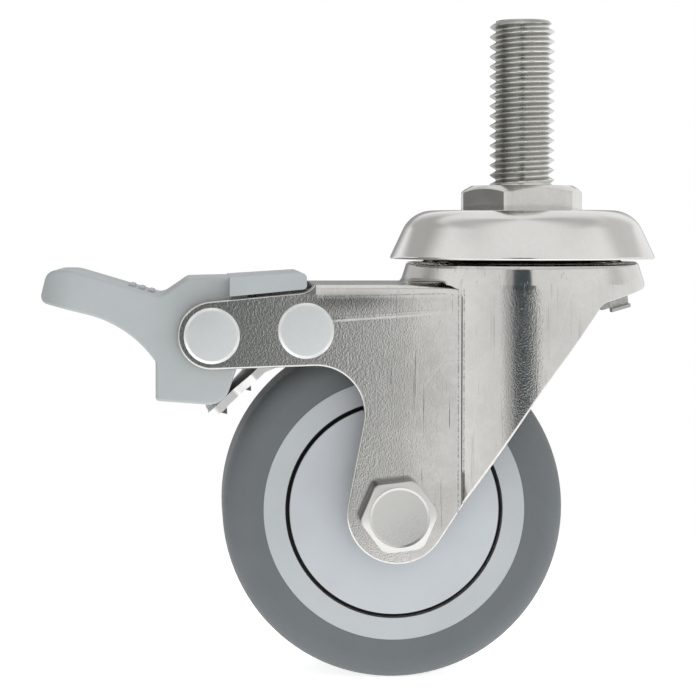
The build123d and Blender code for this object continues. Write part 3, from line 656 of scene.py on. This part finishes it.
@dataclass(frozen=True)
class PlainFinish:
    """Colour, roughness between two limits, grain and patches; a bare metal if not said otherwise."""

    name: str
    colour: Triple
    smooth: float
    rough: float
    grain_per_mm: float = 3.0
    grain_mm: float = 0.01
    grain_strength: float = 0.5
    grain_share: float = 0.35
    dull: float = 0.82
    patches_per_mm: float = 0.12
    metallic: float = 1.0
    specular: float = 0.5

    def build(self, shelf: EffectShelf) -> bpy.types.Material:
        """Builds the material.

        Args:
            shelf: Shared shader groups.

        Returns:
            The material.
        """
        bench = MaterialBench(self.name, shelf)
        grain = bench.effect(Effect.SPECKLE, Grain_per_mm=self.grain_per_mm)
        patch = bench.effect(Effect.PATCH, Patches_per_mm=self.patches_per_mm)
        bright, sheen = self.shares(bench, grain["Mask"], patch["Mask"])
        bench.tone = bench.blend(bright, rgba(self.colour, self.dull), rgba(self.colour))
        bench.emboss(grain["Height"], self.grain_mm, self.grain_strength)
        self.work(bench)
        bench.feed(bench.shader, Metallic=self.metallic, Specular_IOR_Level=self.specular,
                   Base_Color=bench.tone, Normal=bench.normal,
                   Roughness=bench.ramp(sheen, 0.0, 1.0, self.rough, self.smooth))
        return bench.material

    def shares(self, bench: MaterialBench, grain: Socket, patch: Socket) -> tuple[Socket, Socket]:
        """Share of the full colour and of the smooth limit, from the masks of grain and patches."""
        mixed = bench.maths("ADD", bench.product(patch, 1 - self.grain_share),
                            bench.product(grain, self.grain_share))
        return mixed, mixed

    def work(self, bench: MaterialBench) -> None:
        """Adds the marks that only some finishes carry; a plain one has none."""


@dataclass(frozen=True)
class Streak:
    """A straight streak on the side plates, with its ends as (x, z)."""

    start: Pair
    end: Pair
    half: float
    fade: float

    def mask(self, bench: Bench, x: Socket, z: Socket) -> Socket:
        """Where the streak lies.

        The distance is the height above the line from start to end. The mask falls from one on the
        line to zero at the half width, and along the line over the fade at both ends.

        Args:
            bench: The material in hand.
            x: Place along X in millimetres.
            z: Height in millimetres.

        Returns:
            The mask.
        """
        slope = (self.end[1] - self.start[1]) / (self.end[0] - self.start[0])
        rise = bench.product(bench.minus(x, self.start[0]), slope)
        above = bench.minus(z, rise)
        return bench.product(bench.near(above, self.start[1], self.half),
                             bench.window(x, self.start[0], self.end[0], self.fade))


@dataclass(frozen=True)
class StampedFinish(PlainFinish):
    """The deep-drawn stamping: grain, draw lines, painted shades, creases with painted shade on their
    rims, a pressed ridge, a painted shade line along the bend.

    A pair holds the two levels of X, Z, distance or noise between which a mark sets in or fades.
    """

    # Scratches
    scratch_share: float = 0.2
    scratch_mm: float = 0.004
    scratch_tone: float = 1.15
    # Grain of the side plates, their bosses and the drum
    pebble_per_mm: float = 2.4
    pebble_mm: float = 0.019
    fine_per_mm: float = 4.4
    fine_mm: float = 0.02
    grain_bump: float = 0.6
    plate_face: float = 14.2
    plate_top: Pair = (-16.2, -15.9)
    boss_top: Pair = (-44.0, -42.0)
    boss_grain: float = 0.35
    drum_top: Pair = (-15.6, -14.9)
    drum_edge: Pair = (-10.0, -7.0)
    drum_side: Pair = (-5.0, -1.0)
    drum_grain: float = 1.9
    # The drawn part of the side plates and its lines
    drawn: Pair = (-27.0, -17.0)
    drawn_grain: float = 0.3
    drawn_middle: float = -14.0
    drawn_half: Pair = (2.0, 6.0)
    draws_per_mm: float = 1.6
    draw_stretch: float = 0.035
    draw_level: Pair = (0.6, 0.68)
    draw_share: float = 0.45
    draw_tone: float = 0.7
    draw_mm: float = 0.014
    draw_bump: float = 0.3
    # Painted shade below the bend and on the drum's front, and near-black painted shade on the drum's
    # top under the cap
    shade: Streak = Streak((-33.0, -17.1), (-22.0, -16.7), 2.2, 4.0)
    front: Pair = (-18.0, -13.0)
    front_top: float = -14.5
    shade_share: float = 0.8
    shade_tone: float = 0.4
    cap_shade_level: float = -11.62
    cap_shade: Triple = (0.05, 0.045, 0.035)
    # Creases with painted shade on their rims, the ridge, and a painted shade line along the bend;
    # broken maps pebbles to uneven shares
    crease_half: float = 0.6
    crease_rim: float = 0.4
    crease_mm: float = 0.07
    rim_half: float = 0.17
    rim_shade_tone: float = 0.3
    broken: tuple[float, ...] = (0.4, 0.6, 0.2, 0.8)
    ridge: Streak = Streak((-29.8, -19.7), (-14.6, -18.7), 0.45, 3.0)
    ridge_mm: float = 0.035
    bend: Streak = Streak((-31.0, -16.35), (-13.4, -15.95), 0.13, 0.6)
    bend_shade_tone: float = 0.35

    def work(self, bench: MaterialBench) -> None:
        """Adds every mark of the stamping, from the scratches to the bend line.

        The side plates are what lies outside the face distance and below their top. A crease lies
        where the drum's circle meets a side plate, so its X is the root of the squared drum radius
        less the squared distance of the plate, and its rims, darkened with painted shade, stand to both
        sides of its groove.

        Args:
            bench: The material in hand.
        """
        scratch = bench.effect(Effect.SCRATCH)
        bench.tint(bench.product(scratch["Mask"], self.scratch_share),
                   rgba(self.colour, self.scratch_tone))
        bench.emboss(scratch["Height"], self.scratch_mm, self.scratch_share)
        x, y, z = bench.position()
        on_plate = bench.maths("GREATER_THAN", bench.apart(y), self.plate_face)
        on_drum = bench.fall(z, *self.drum_top)
        pebble = bench.effect(Effect.SPECKLE, Grain_per_mm=self.pebble_per_mm)["Height"]
        self.grain(bench, x, z, pebble, bench.fall(z, *self.plate_top), on_drum)
        draws = bench.effect(Effect.DRAWN, Streaks_per_mm=self.draws_per_mm, Stretch=self.draw_stretch)
        lines = bench.product(bench.ramp(draws["Height"], *self.draw_level), bench.ramp(x, *self.drawn))
        bench.tint(bench.product(lines, self.draw_share), rgba(self.colour, self.dull * self.draw_tone))
        bench.emboss(lines, self.draw_mm, self.draw_bump)
        front = bench.product(bench.fall(x, *self.front),
                              bench.ramp(z, self.drum_top[1], self.front_top))
        for shaded in (bench.product(self.shade.mask(bench, x, z), on_plate), front):
            bench.tint(bench.product(shaded, self.shade_share), rgba(self.colour, self.shade_tone))
        # Near-black painted shade on all that lies above this level: the crown's top, in the shade
        # under the cap
        bench.tint(bench.maths("GREATER_THAN", z, self.cap_shade_level), rgba(self.cap_shade))
        crease = -math.sqrt(Extent.of("fork").high[0] ** 2 - PLATE_FACE**2) - self.crease_rim / 2
        groove = bench.product(bench.near(x, crease, self.crease_half), on_plate, on_drum)
        bench.emboss(groove, -self.crease_mm)
        away = bench.apart(x, crease)
        # The rims beside the groove get painted shade, broken up by the pebbles
        rim_shade = bench.product(bench.near(away, self.crease_rim, self.rim_half), on_plate, on_drum)
        uneven = bench.ramp(pebble, *self.broken)
        bench.tint(bench.product(rim_shade, uneven), rgba(self.colour, self.rim_shade_tone))
        bench.emboss(bench.product(self.ridge.mask(bench, x, z), on_plate), self.ridge_mm)
        # A thin line of painted shade along the bend below the plates' top
        bench.tint(bench.product(self.bend.mask(bench, x, z), uneven, on_plate),
                   rgba(self.colour, self.bend_shade_tone))

    def grain(self, bench: MaterialBench, x: Socket, z: Socket, pebble: Socket, below: Socket,
              on_drum: Socket) -> None:
        """Adds pebbled grain to the side plates, and fine grain that also covers the drum.

        The pebbles fade towards the drum and on the axle bosses; the fine grain fades about the
        middle of the drawn wall and is strongest on the drum's side.

        Args:
            bench: The material in hand.
            x: Place along X in millimetres.
            z: Height in millimetres.
            pebble: Height of the pebbles.
            below: Mask of what lies below the side plates' top.
            on_drum: Mask of what lies below the drum's top.
        """
        bench.emboss(bench.product(pebble, below, bench.ramp(x, *self.drawn, 1.0, self.drawn_grain),
                                   bench.ramp(z, *self.boss_top, self.boss_grain, 1.0)),
                     self.pebble_mm, self.grain_bump)
        fine = bench.effect(Effect.SPECKLE, Grain_per_mm=self.fine_per_mm)["Height"]
        from_middle = bench.apart(x, self.drawn_middle)
        bench.emboss(bench.product(fine, bench.blend(bench.ramp(x, *self.drum_edge), below, on_drum),
                                   bench.ramp(from_middle, *self.drawn_half, self.drawn_grain, 1.0),
                                   bench.ramp(x, *self.drum_side, 1.0, self.drum_grain)),
                     self.fine_mm, self.grain_bump)


@dataclass(frozen=True)
class ForgedFinish(PlainFinish):
    """A headed piece whose sides carry painted light apart from its flat face: darker painted shade on
    the bolt, a brighter painted highlight on the rivets.
    """

    face: float = 18.35
    face_soft: float = 0.15
    # By default a darker painted shade, as on the bolt
    side_painted_light: Triple = (0.38, 0.365, 0.34)

    def work(self, bench: MaterialBench) -> None:
        """Lays the tone of painted light on the head's sides, which lie nearer than the face."""
        out = bench.apart(bench.position()[1])
        bench.tint(bench.fall(out, self.face - self.face_soft, self.face + self.face_soft),
                   rgba(self.side_painted_light))


@dataclass(frozen=True)
class ThreadFinish(PlainFinish):
    """A rolled thread with painted shade on its flanks and a darker painted shade on its left side."""

    flank_middle: float = 4.3
    flank_half: float = 0.52
    thread_shade: Triple = (0.40, 0.395, 0.375)
    shade_side: Pair = (-3.4, -1.0)
    shade_side_share: float = 0.7
    shade_side_tone: float = 0.6

    def work(self, bench: MaterialBench) -> None:
        """Paints shade on the flanks by the distance from the upright axis, and a darker painted shade
        on the left side by X.

        Args:
            bench: The material in hand.
        """
        x, y, _ = bench.position()
        bench.tint(bench.near(bench.length(x, y), self.flank_middle, self.flank_half),
                   rgba(self.thread_shade))
        bench.tint(bench.ramp(x, *self.shade_side, self.shade_side_share, 0.0), rgba(self.thread_shade, self.shade_side_tone))


@dataclass(frozen=True)
class ToothedFinish(PlainFinish):
    """A bright pressed sheet whose brake teeth are darker."""

    shoe_deg: float = 44.0
    shoe_face: float = 0.4
    tooth_soft: float = 0.15
    tooth_end: float = 1.5
    shoe_start: float = 10.8
    tooth_tone: Triple = (0.13, 0.13, 0.125)

    def work(self, bench: MaterialBench) -> None:
        """Darkens what stands out from the shoe's face, by its lift from the rear rivet's centre.

        The shoe runs forwards and down from the rivet, so the distance along it and the lift from
        it are the place's dot products with the shoe's direction and with its normal.

        Args:
            bench: The material in hand.
        """
        x, _, z = bench.position()
        pivot = Extent.of("shoe_rivet").side_centre
        east, up = bench.minus(x, pivot[0]), bench.minus(z, pivot[1])
        cosine, sine = math.cos(math.radians(self.shoe_deg)), math.sin(math.radians(self.shoe_deg))
        run = bench.maths("ADD", bench.product(east, -cosine), bench.product(up, -sine))
        lift = bench.minus(bench.product(east, sine), bench.product(up, cosine))
        tooth = bench.product(bench.ramp(lift, self.shoe_face, self.shoe_face + self.tooth_soft),
                              bench.maths("LESS_THAN", lift, self.tooth_end),
                              bench.maths("GREATER_THAN", run, self.shoe_start))
        bench.tint(tooth, rgba(self.tooth_tone))


@dataclass(frozen=True)
class MouldedFinish(PlainFinish):
    """A moulded plastic or rubber: fine erosion texture, handling marks and a near-black painted shade
    ring in the gap about the axle.
    """

    grain_per_mm: float = 6.0
    grain_mm: float = 0.004
    grain_strength: float = 0.6
    dull: float = 0.93
    patches_per_mm: float = 0.06
    metallic: float = 0.0
    specular: float = 0.4
    ring: Pair | None = None
    ring_shade_tone: float = 0.004

    def shares(self, bench: MaterialBench, grain: Socket, patch: Socket) -> tuple[Socket, Socket]:
        """The patches brighten the colour and the grain smooths the surface."""
        return patch, grain

    def work(self, bench: MaterialBench) -> None:
        """Paints a near-black shade ring between two radii about the axle, in the gap between core and
        guard, where the finish has one.

        Args:
            bench: The material in hand.
        """
        if self.ring:
            mask = bench.effect(Effect.RING, Inner_mm=self.ring[0], Outer_mm=self.ring[1])["Mask"]
            bench.tint(mask, grey(self.ring_shade_tone))


class Finish(Enum):
    """Every finish on the castor."""

    FORK = StampedFinish("tumbled_fork_sheet", (0.68, 0.67, 0.645), 0.08, 0.12, grain_per_mm=1.9,
                         grain_mm=0.001, grain_strength=0.3, dull=0.9)
    CAP = PlainFinish("polished_cap_sheet", (0.74, 0.73, 0.71), 0.1, 0.16, grain_per_mm=4.0,
                      grain_mm=0.004, grain_strength=0.3, dull=0.95)
    STEM = PlainFinish("turned_stem_steel", (0.66, 0.64, 0.60), 0.12, 0.2, grain_per_mm=4.0, dull=0.85)
    # The rivets' chamfers and shanks get a bright painted highlight
    RIVET = ForgedFinish("matt_rivet_steel", (0.79, 0.81, 0.81), 0.42, 0.5, grain_mm=0.02, dull=0.94,
                         face=16.35, side_painted_light=(0.95, 0.95, 0.94))
    THREAD = ThreadFinish("rolled_thread_steel", (0.82, 0.82, 0.79), 0.2, 0.3, grain_per_mm=4.0,
                          grain_mm=0.003, dull=0.85)
    HEXAGON = PlainFinish("hexagon_steel", (0.66, 0.65, 0.62), 0.12, 0.2, grain_mm=0.02, dull=0.9)
    # The bolt's and nut's sides, shank and thread get the default darker painted shade
    BOLT = ForgedFinish("bolt_steel", (0.655, 0.65, 0.63), 0.26, 0.34, grain_per_mm=4.0, dull=0.95)
    PLATE = ToothedFinish("pressed_plate_steel", (0.84, 0.835, 0.82), 0.3, 0.4, grain_mm=0.005,
                          dull=0.92)
    SPRING = PlainFinish("sheet_spring_steel", (0.56, 0.555, 0.54), 0.26, 0.36, grain_mm=0.008,
                         dull=0.88)
    BEARING = PlainFinish("ground_bearing_steel", (0.60, 0.60, 0.60), 0.12, 0.2, grain_per_mm=6.0,
                          grain_mm=0.003, dull=0.9)
    PEDAL = MouldedFinish("pedal_plastic", (0.465, 0.495, 0.505), 0.42, 0.52)
    # The core and the guards get a near-black painted shade ring in the gap between them
    RIM = MouldedFinish("wheel_core_plastic", (0.49, 0.52, 0.54), 0.38, 0.46, ring=(15.0, 16.12))
    GUARD = MouldedFinish("thread_guard_plastic", (0.535, 0.565, 0.595), 0.36, 0.44,
                          ring=(15.5, 16.12))
    TYRE = MouldedFinish("tyre_rubber", (0.142, 0.157, 0.163), 0.46, 0.58, specular=0.35,
                         grain_per_mm=5.0, grain_mm=0.006)


# --- Sub-assemblies ---


@dataclass
class SubAssembly:
    """What every sub-assembly shares: the frame's nodes and the finishes."""

    nodes: dict[str, Piece]
    finishes: dict[Finish, bpy.types.Material]

    def dress(self, finish: Finish, *names: str) -> None:
        """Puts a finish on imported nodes.

        Args:
            finish: The finish.
            names: Node names.
        """
        material = self.finishes[finish]
        for name in names:
            node = self.nodes[name]
            if not node.material_slots:
                node.data.materials.append(material)
            for slot in node.material_slots:
                slot.material = material
            LOG.info("%s keeps its solid and takes %s", name, material.name)

    def settle(self, piece: Piece, finish: Finish, body: Body, slot: str, *replaced: str) -> None:
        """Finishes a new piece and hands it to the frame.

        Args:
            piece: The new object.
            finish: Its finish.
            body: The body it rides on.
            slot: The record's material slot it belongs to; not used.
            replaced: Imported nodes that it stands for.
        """
        piece.data.materials.append(self.finishes[finish])
        if replaced:
            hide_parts(*replaced)
        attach(piece, body.value)
        LOG.info("%s: %d faces on %s", piece.name, len(piece.data.polygons), body.value)


@dataclass
class SwivelHead(SubAssembly):
    """Stem, hexagon, cap, swivel bearing, lock ring and kingpin nut."""

    thread_radius: float = 4.9
    stem_pitch: float = 1.5
    stem_chamfer: float = 0.9
    hexagon_flats: float = 17.0
    hexagon_turn_deg: float = 10.0
    hexagon_bore: float = 4.0
    hexagon_disc: float = 7.7
    hexagon_edge: float = 0.2
    hexagon_blunt: float = 0.33
    kingpin_radius: float = 4.8
    kingpin_edge: float = 0.1
    kingpin_thread: float = 4.0
    kingpin_chamfer: float = 0.5
    cap_sheet: float = 1.2
    cap_wall_deg: float = 65.0
    cap_shoulder: float = 5.0
    cap_rim: Pair = (0.3, 0.25)
    hole_gap: float = 0.02

    def __post_init__(self) -> None:
        """Reads the boxes of the bar, the cap and the kingpin nut."""
        self.bar = Extent.of("threaded_stem")
        self.cap_box = Extent.of("top_cap")
        self.lock_nut = Extent.of("kingpin_nut")

    def build(self) -> None:
        """Builds and dresses the head."""
        thread = Thread(self.thread_radius, self.stem_pitch, 0.0, self.bar.high[2], self.stem_chamfer)
        stem = surface_object("stem_thread", thread.surface(), closed_rows=False,
                              sharp_deg=THREAD_SHARP_DEG)
        self.settle(stem, Finish.THREAD, Body.HEAD, "stem_steel", "threaded_stem")
        cap_top = self.cap_box.high[2]
        form = HexForm(self.hexagon_flats, -cap_top, self.hexagon_bore, self.hexagon_turn_deg,
                       self.hexagon_disc, edge=self.hexagon_edge, blunt=self.hexagon_blunt)
        hexagon = surface_object("stem_hexagon", form.surface() + (0.0, 0.0, cap_top),
                                 sharp_deg=HEXAGON_SHARP_DEG)
        self.settle(hexagon, Finish.HEXAGON, Body.HEAD, "stem_steel")
        self.settle(self.kingpin(), Finish.STEM, Body.HEAD, "stem_steel")
        self.settle(self.cap(), Finish.CAP, Body.HEAD, "polished_sheet", "top_cap")
        self.dress(Finish.BEARING, "upper_race", "upper_balls", "lower_race", "lower_balls")
        self.dress(Finish.STEM, "swivel_lock_ring", "kingpin_nut")

    def kingpin(self) -> Piece:
        """Plain pin below the hexagon, stepped down to its thread at the nut's top."""
        end, step, top = self.bar.low[2], self.lock_nut.high[2], self.cap_box.high[2]
        return turned_piece("kingpin", [
            (0.0, end, 0.0), (self.kingpin_thread, end, self.kingpin_chamfer),
            (self.kingpin_thread, step, 0.0), (self.kingpin_radius, step, self.kingpin_edge),
            (self.kingpin_radius, top, 0.0), (0.0, top, 0.0)], columns=96)

    def cap(self) -> Piece:
        """Dished cap: top disc, rounded shoulder and flared wall, with rounded rim corners.

        The wall leans by its angle, so its radius grows by the drop over the angle's tangent, and
        its inner face lies the sheet over the angle's sine inside it.

        Returns:
            The new object.
        """
        slope = math.radians(self.cap_wall_deg)
        rim, top = self.cap_box.low[2], self.cap_box.high[2]
        rim_radius = self.cap_box.size[0] / 2
        shoulder = rim_radius - (top - rim) / math.tan(slope)
        inner_rim = rim_radius - self.cap_sheet / math.sin(slope)
        inner_top = top - self.cap_sheet
        inner_shoulder = inner_rim - (inner_top - rim) / math.tan(slope)
        hole = self.kingpin_radius + self.hole_gap
        return turned_piece("dished_cap", [
            (hole, inner_top, 0.0), (hole, top, 0.0), (shoulder, top, self.cap_shoulder),
            (rim_radius, rim, self.cap_rim[0]), (inner_rim, rim, self.cap_rim[1]),
            (inner_shoulder, inner_top, self.cap_shoulder - self.cap_sheet)],
            columns=256, steps=14)


@dataclass
class Fork(SubAssembly):
    """The stamping with its rivets and return spring."""

    rivet_radius: float = 3.0
    head_chamfer: float = 0.42
    head_rounding: tuple[float, ...] = (0.12, 0.2, 0.1, 0.05)

    def build(self) -> None:
        """Builds and dresses the fork."""
        self.dress(Finish.FORK, "fork")
        self.dress(Finish.SPRING, "return_spring")
        for name, node in (("rivet_front", "pedal_rivet"), ("rivet_rear", "shoe_rivet")):
            rivet = self.rivet(name, Extent.of(node))
            self.settle(rivet, Finish.RIVET, Body.FORK, "rivet_steel", node)

    def rivet(self, name: str, space: Extent) -> Piece:
        """Rivet across both side plates, with a chamfered head on each.

        Args:
            name: Object name.
            space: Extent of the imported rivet.

        Returns:
            The new object.
        """
        tip, head = space.size[1] / 2, space.size[0] / 2
        neck = head - self.head_chamfer
        radii = (0.0, neck, head, head, neck, self.rivet_radius)
        levels = (tip, tip, tip - self.head_chamfer, PLATE_FACE + self.head_chamfer, PLATE_FACE,
                  PLATE_FACE)
        half = list(zip(radii, levels, (0.0, *self.head_rounding, 0.0)))
        corners = [(radius, -level, rounding) for radius, level, rounding in half] + half[::-1]
        return turned_piece(name, corners, Turning.ALONG_AXLE, space.side_centre,
                            columns=128, steps=6)


@dataclass
class Wheel(SubAssembly):
    """Tyre, core, thread guards, bearings, axle bolt and nut."""

    shank_radius: float = 3.0
    shank_pitch: float = 1.0
    shank_chamfer: float = 0.7
    shank_columns: int = 64
    bolt_flats: float = 10.0
    bolt_turn_deg: float = 6.7
    bolt_disc: float = 4.35
    bolt_disc_sink: float = 0.14
    nut_bore: float = 3.02
    nut_discs: Pair = (4.7, 4.8)
    thread_overlap: float = 1.0

    def __post_init__(self) -> None:
        """Reads the boxes of the axle bolt and the nut; the thread starts inside the far plate."""
        self.bolt = Extent.of("axle_bolt")
        self.nut_box = Extent.of("axle_nut")
        self.axle = self.bolt.side_centre
        self.thread_start = PLATE_FACE - self.thread_overlap

    def build(self) -> None:
        """Builds and dresses the wheel and its axle."""
        self.dress(Finish.TYRE, "tyre")
        self.dress(Finish.RIM, "wheel_core")
        self.dress(Finish.GUARD, "thread_guard_near", "thread_guard_far")
        for side in ("near", "far"):
            self.dress(Finish.BEARING, f"bearing_inner_{side}", f"bearing_outer_{side}",
                       f"bearing_balls_{side}")
        self.dress(Finish.STEM, "axle_sleeve")
        head = HexForm(self.bolt_flats, -self.bolt.low[1] - PLATE_FACE, 0.0, self.bolt_turn_deg,
                       self.bolt_disc, self.bolt_disc_sink)
        nut = HexForm(self.bolt_flats, self.nut_box.size[1], self.nut_bore, self.bolt_turn_deg,
                      self.nut_discs[0], lower_disc=self.nut_discs[1])
        for piece, replaced in ((self.hexagon("axle_bolt_head", head, -1.0), ("axle_bolt",)),
                                (self.shank_end(), ()), (self.shank(), ()),
                                (self.hexagon("axle_lock_nut", nut, 1.0), ("axle_nut",))):
            self.settle(piece, Finish.BOLT, Body.FORK, "bolt_steel", *replaced)

    def shank_end(self) -> Piece:
        """The bolt's threaded end, along the axle.

        Returns:
            The new object.
        """
        thread = Thread(self.shank_radius, self.shank_pitch, self.thread_start, self.bolt.high[1],
                        self.shank_chamfer)
        points = placed(thread.surface(self.shank_columns), Turning.ALONG_AXLE, self.axle)
        return surface_object("axle_bolt_thread", points, closed_rows=False,
                              sharp_deg=THREAD_SHARP_DEG)

    def shank(self) -> Piece:
        """The bolt's plain shank, from its head to its thread."""
        radius, end = self.shank_radius, self.thread_start
        return turned_piece("axle_bolt_shank", [
            (0.0, -PLATE_FACE, 0.0), (radius, -PLATE_FACE, 0.0), (radius, end, 0.0), (0.0, end, 0.0)],
            Turning.ALONG_AXLE, self.axle, self.shank_columns, steps=2)

    def hexagon(self, name: str, form: HexForm, side: float) -> Piece:
        """Hexagon standing on a side plate, with its axis along the axle.

        Args:
            name: Object name.
            form: Its sizes.
            side: Minus one for the near plate, one for the far plate.

        Returns:
            The new object.
        """
        across, upward, out = np.moveaxis(form.surface(), -1, 0)
        points = np.stack([across + self.axle[0], side * (PLATE_FACE + out), upward + self.axle[1]],
                          axis=-1)
        return surface_object(name, points, sharp_deg=HEXAGON_SHARP_DEG)


@dataclass
class FootBrake(SubAssembly):
    """Pedal and brake plate."""

    def build(self) -> None:
        """Dresses the pedal and the plate."""
        self.dress(Finish.PEDAL, "brake_pedal")
        self.dress(Finish.PLATE, "brake_plate")


# --- Studio ---


@dataclass(frozen=True)
class Gap:
    """A darker gap between the studio's pale walls.

    Its angles go round from straight behind the viewer towards +X, in degrees; top and bottom are
    the sines of the heights where it ends.
    """

    start: float
    end: float
    soft: float
    tone: Triple
    top: float
    bottom: float = -0.15
    edge: float = 0.05

    def mask(self, bench: Bench, degrees: Socket, height: Socket) -> Socket:
        """Where the gap is seen, by the angle and the sine of the height."""
        return bench.product(bench.window(degrees, self.start, self.end, self.soft),
                             bench.window(height, self.bottom, self.top, self.edge))


@dataclass(frozen=True)
class Studio:
    """Camera, pale floor and soft surroundings."""

    eye: Triple = (-49.127, -328.122, -6.488)
    yaw_deg: float = 2.468
    pitch_deg: float = 1.691
    roll_deg: float = 0.01
    focal_px: float = 2163.8
    frame_px: float = 696.0
    film_mm: float = 36.0
    shift: Pair = (0.08, -0.08)
    near_clip: float = 0.01
    floor_gap: float = 0.02
    floor_radius: float = 170.0
    floor_centre: Pair = (-20.0, 0.0)
    floor_fade: Pair = (0.35, 0.97)
    floor_tone: float = 0.93
    floor_rough: float = 0.9
    floor_glow: float = 0.72
    gaps: tuple[Gap, ...] = (
        Gap(-25.0, -14.0, 2.0, (0.5, 0.5, 0.5), 0.6),
        Gap(-17.0, 1.8, 1.2, (0.07, 0.085, 0.095), 0.62),
        Gap(-1.5, 4.65, 1.1, (0.17, 0.185, 0.185), 0.14),
        Gap(-168.0, -104.0, 14.0, (0.5, 0.5, 0.49), 0.7, 0.3),
        Gap(-210.0, -160.0, 10.0, (0.34, 0.35, 0.35), 0.3),
        Gap(160.0, 210.0, 10.0, (0.34, 0.35, 0.35), 0.3),
        Gap(90.0, 142.0, 10.0, (0.70, 0.70, 0.69), 0.7, 0.3),
        Gap(-112.0, -84.0, 4.0, (0.22, 0.22, 0.22), 0.3))
    left_wall: Pair = (-70.0, -30.0)
    right_wall: Pair = (10.0, 70.0)
    wall_tones: Triple = (1.0, 0.9, 0.98)
    ceiling: Pair = (0.62, 0.78)
    ceiling_sides: tuple[Pair, Pair] = ((25.0, 95.0), (110.0, 150.0))
    ceiling_tones: Pair = (0.96, 0.6)
    even_heights: Pair = (-0.6, 0.9)
    even_tones: Pair = (1.25, 0.92)
    weak_side: Pair = (-0.9, 0.0)
    weak_share: float = 0.85
    weak_tone: float = 0.3

    def camera(self) -> None:
        """Sets up the scene's camera from its place and turns.

        A camera looks down and has Y upwards, so it is rolled about its view, tilted up to the
        pitch below the horizon and turned about Z to the yaw, which goes from +Y towards +X.
        """
        yaw, pitch, roll = map(math.radians, (self.yaw_deg, self.pitch_deg, self.roll_deg))
        turn = (Matrix.Rotation(-yaw, 4, "Z") @ Matrix.Rotation(FULL_TURN / 4 - pitch, 4, "X")
                @ Matrix.Rotation(roll, 4, "Z"))
        data = bpy.data.cameras.new("view")
        data.sensor_fit = "HORIZONTAL"
        data.sensor_width = self.film_mm
        data.lens = self.focal_px * self.film_mm / self.frame_px
        data.shift_x, data.shift_y = self.shift
        data.clip_start = self.near_clip
        camera = bpy.data.objects.new("view", data)
        camera.matrix_world = Matrix.Translation([v * MM for v in self.eye]) @ turn
        bpy.context.scene.collection.objects.link(camera)
        bpy.context.scene.camera = camera

    def floor(self, rings: int = 5, columns: int = 96) -> None:
        """Round pale floor that fades out at its edge: rings of points at even steps of radius.

        Args:
            rings: Rings of points, the first one on the centre.
            columns: Columns round the centre.
        """
        centre = (*self.floor_centre, Extent.of("tyre").low[2] - self.floor_gap)
        radii = np.linspace(0.0, 1.0, rings) * self.floor_radius
        profile = np.stack([radii, np.zeros(rings)], axis=1)[None]
        floor = surface_object("floor", swept_round(profile, columns) + centre, closed_rows=False)
        bench = MaterialBench("pale_floor")
        away = bench.node("ShaderNodeVectorMath", operation="DISTANCE", in_0=bench.place,
                          in_1=tuple(value * MM for value in centre))
        fade = (share * self.floor_radius * MM for share in self.floor_fade)
        bench.feed(bench.shader, Base_Color=grey(self.floor_tone), Roughness=self.floor_rough,
                   Specular_IOR_Level=0.0, Emission_Color=grey(1.0),
                   Emission_Strength=self.floor_glow, Alpha=bench.fall(away.outputs["Value"], *fade))
        floor.data.materials.append(bench.material)
        floor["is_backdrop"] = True

    def surroundings(self) -> None:
        """Walls with their gaps and a ceiling, as reflections see them, and the light on matt pieces.

        All of it depends only on the direction. Reflections see pale walls with darker gaps, under a
        bright ceiling that is dimmer over both sides. Diffuse light is even, somewhat stronger from
        below and weak from the left. The camera sees white.
        """
        world = bpy.data.worlds.new("studio_walls")
        bpy.context.scene.world = world
        world.use_nodes = True
        bench = Bench(world.node_tree)
        bench.tree.nodes.clear()
        x, y, height = bench.split(bench.node("ShaderNodeTexCoord").outputs["Generated"])
        turn = bench.maths("ARCTAN2", x, bench.product(y, -1.0))
        degrees = bench.product(turn, math.degrees(1.0))
        left, middle, right = map(grey, self.wall_tones)
        walls = bench.blend(bench.ramp(degrees, *self.right_wall), middle, right)
        walls = bench.blend(bench.fall(degrees, *self.left_wall), walls, left)
        for gap in self.gaps:
            walls = bench.blend(gap.mask(bench, degrees, height), walls, rgba(gap.tone))
        around = bench.apart(degrees)
        side = bench.product(bench.ramp(around, *self.ceiling_sides[0]),
                             bench.fall(around, *self.ceiling_sides[1]))
        ceiling = bench.blend(side, *map(grey, self.ceiling_tones))
        walls = bench.blend(bench.ramp(height, *self.ceiling), walls, ceiling)
        even = bench.blend(bench.ramp(height, *self.even_heights), *map(grey, self.even_tones))
        even = bench.blend(bench.ramp(x, *self.weak_side, self.weak_share, 0.0), even,
                           grey(self.weak_tone))
        rays = bench.node("ShaderNodeLightPath").outputs
        plain = bench.blend(rays["Is Diffuse Ray"], walls, even)
        light = bench.node("ShaderNodeBackground",
                           in_Color=bench.blend(rays["Is Camera Ray"], plain, grey(1.0)))
        bench.node("ShaderNodeOutputWorld", in_Surface=light.outputs[0])

    def build(self) -> None:
        """Sets camera, floor and surroundings."""
        self.camera()
        self.floor()
        self.surroundings()
        bpy.context.scene.view_settings.view_transform = "Standard"


def write_sizes(visual_box: object) -> None:
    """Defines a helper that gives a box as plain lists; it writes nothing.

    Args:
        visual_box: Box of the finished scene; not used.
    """
    def plain(box: object) -> list[list[float]]:
        """The box as plain lists."""
        return [[float(v) for v in corner] for corner in box]


def main() -> None:
    """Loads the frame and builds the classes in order."""
    logging.basicConfig(level=logging.INFO, format="%(name)s: %(message)s")
    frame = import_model()
    Studio().build()
    effects = EffectShelf()
    finishes = {finish: finish.value.build(effects) for finish in Finish}
    for part in (SwivelHead, Fork, Wheel, FootBrake):
        part(frame["nodes"], finishes).build()
        LOG.info("%s done", part.__name__)
    write_sizes(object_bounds())


if __name__ == "__main__":
    main()
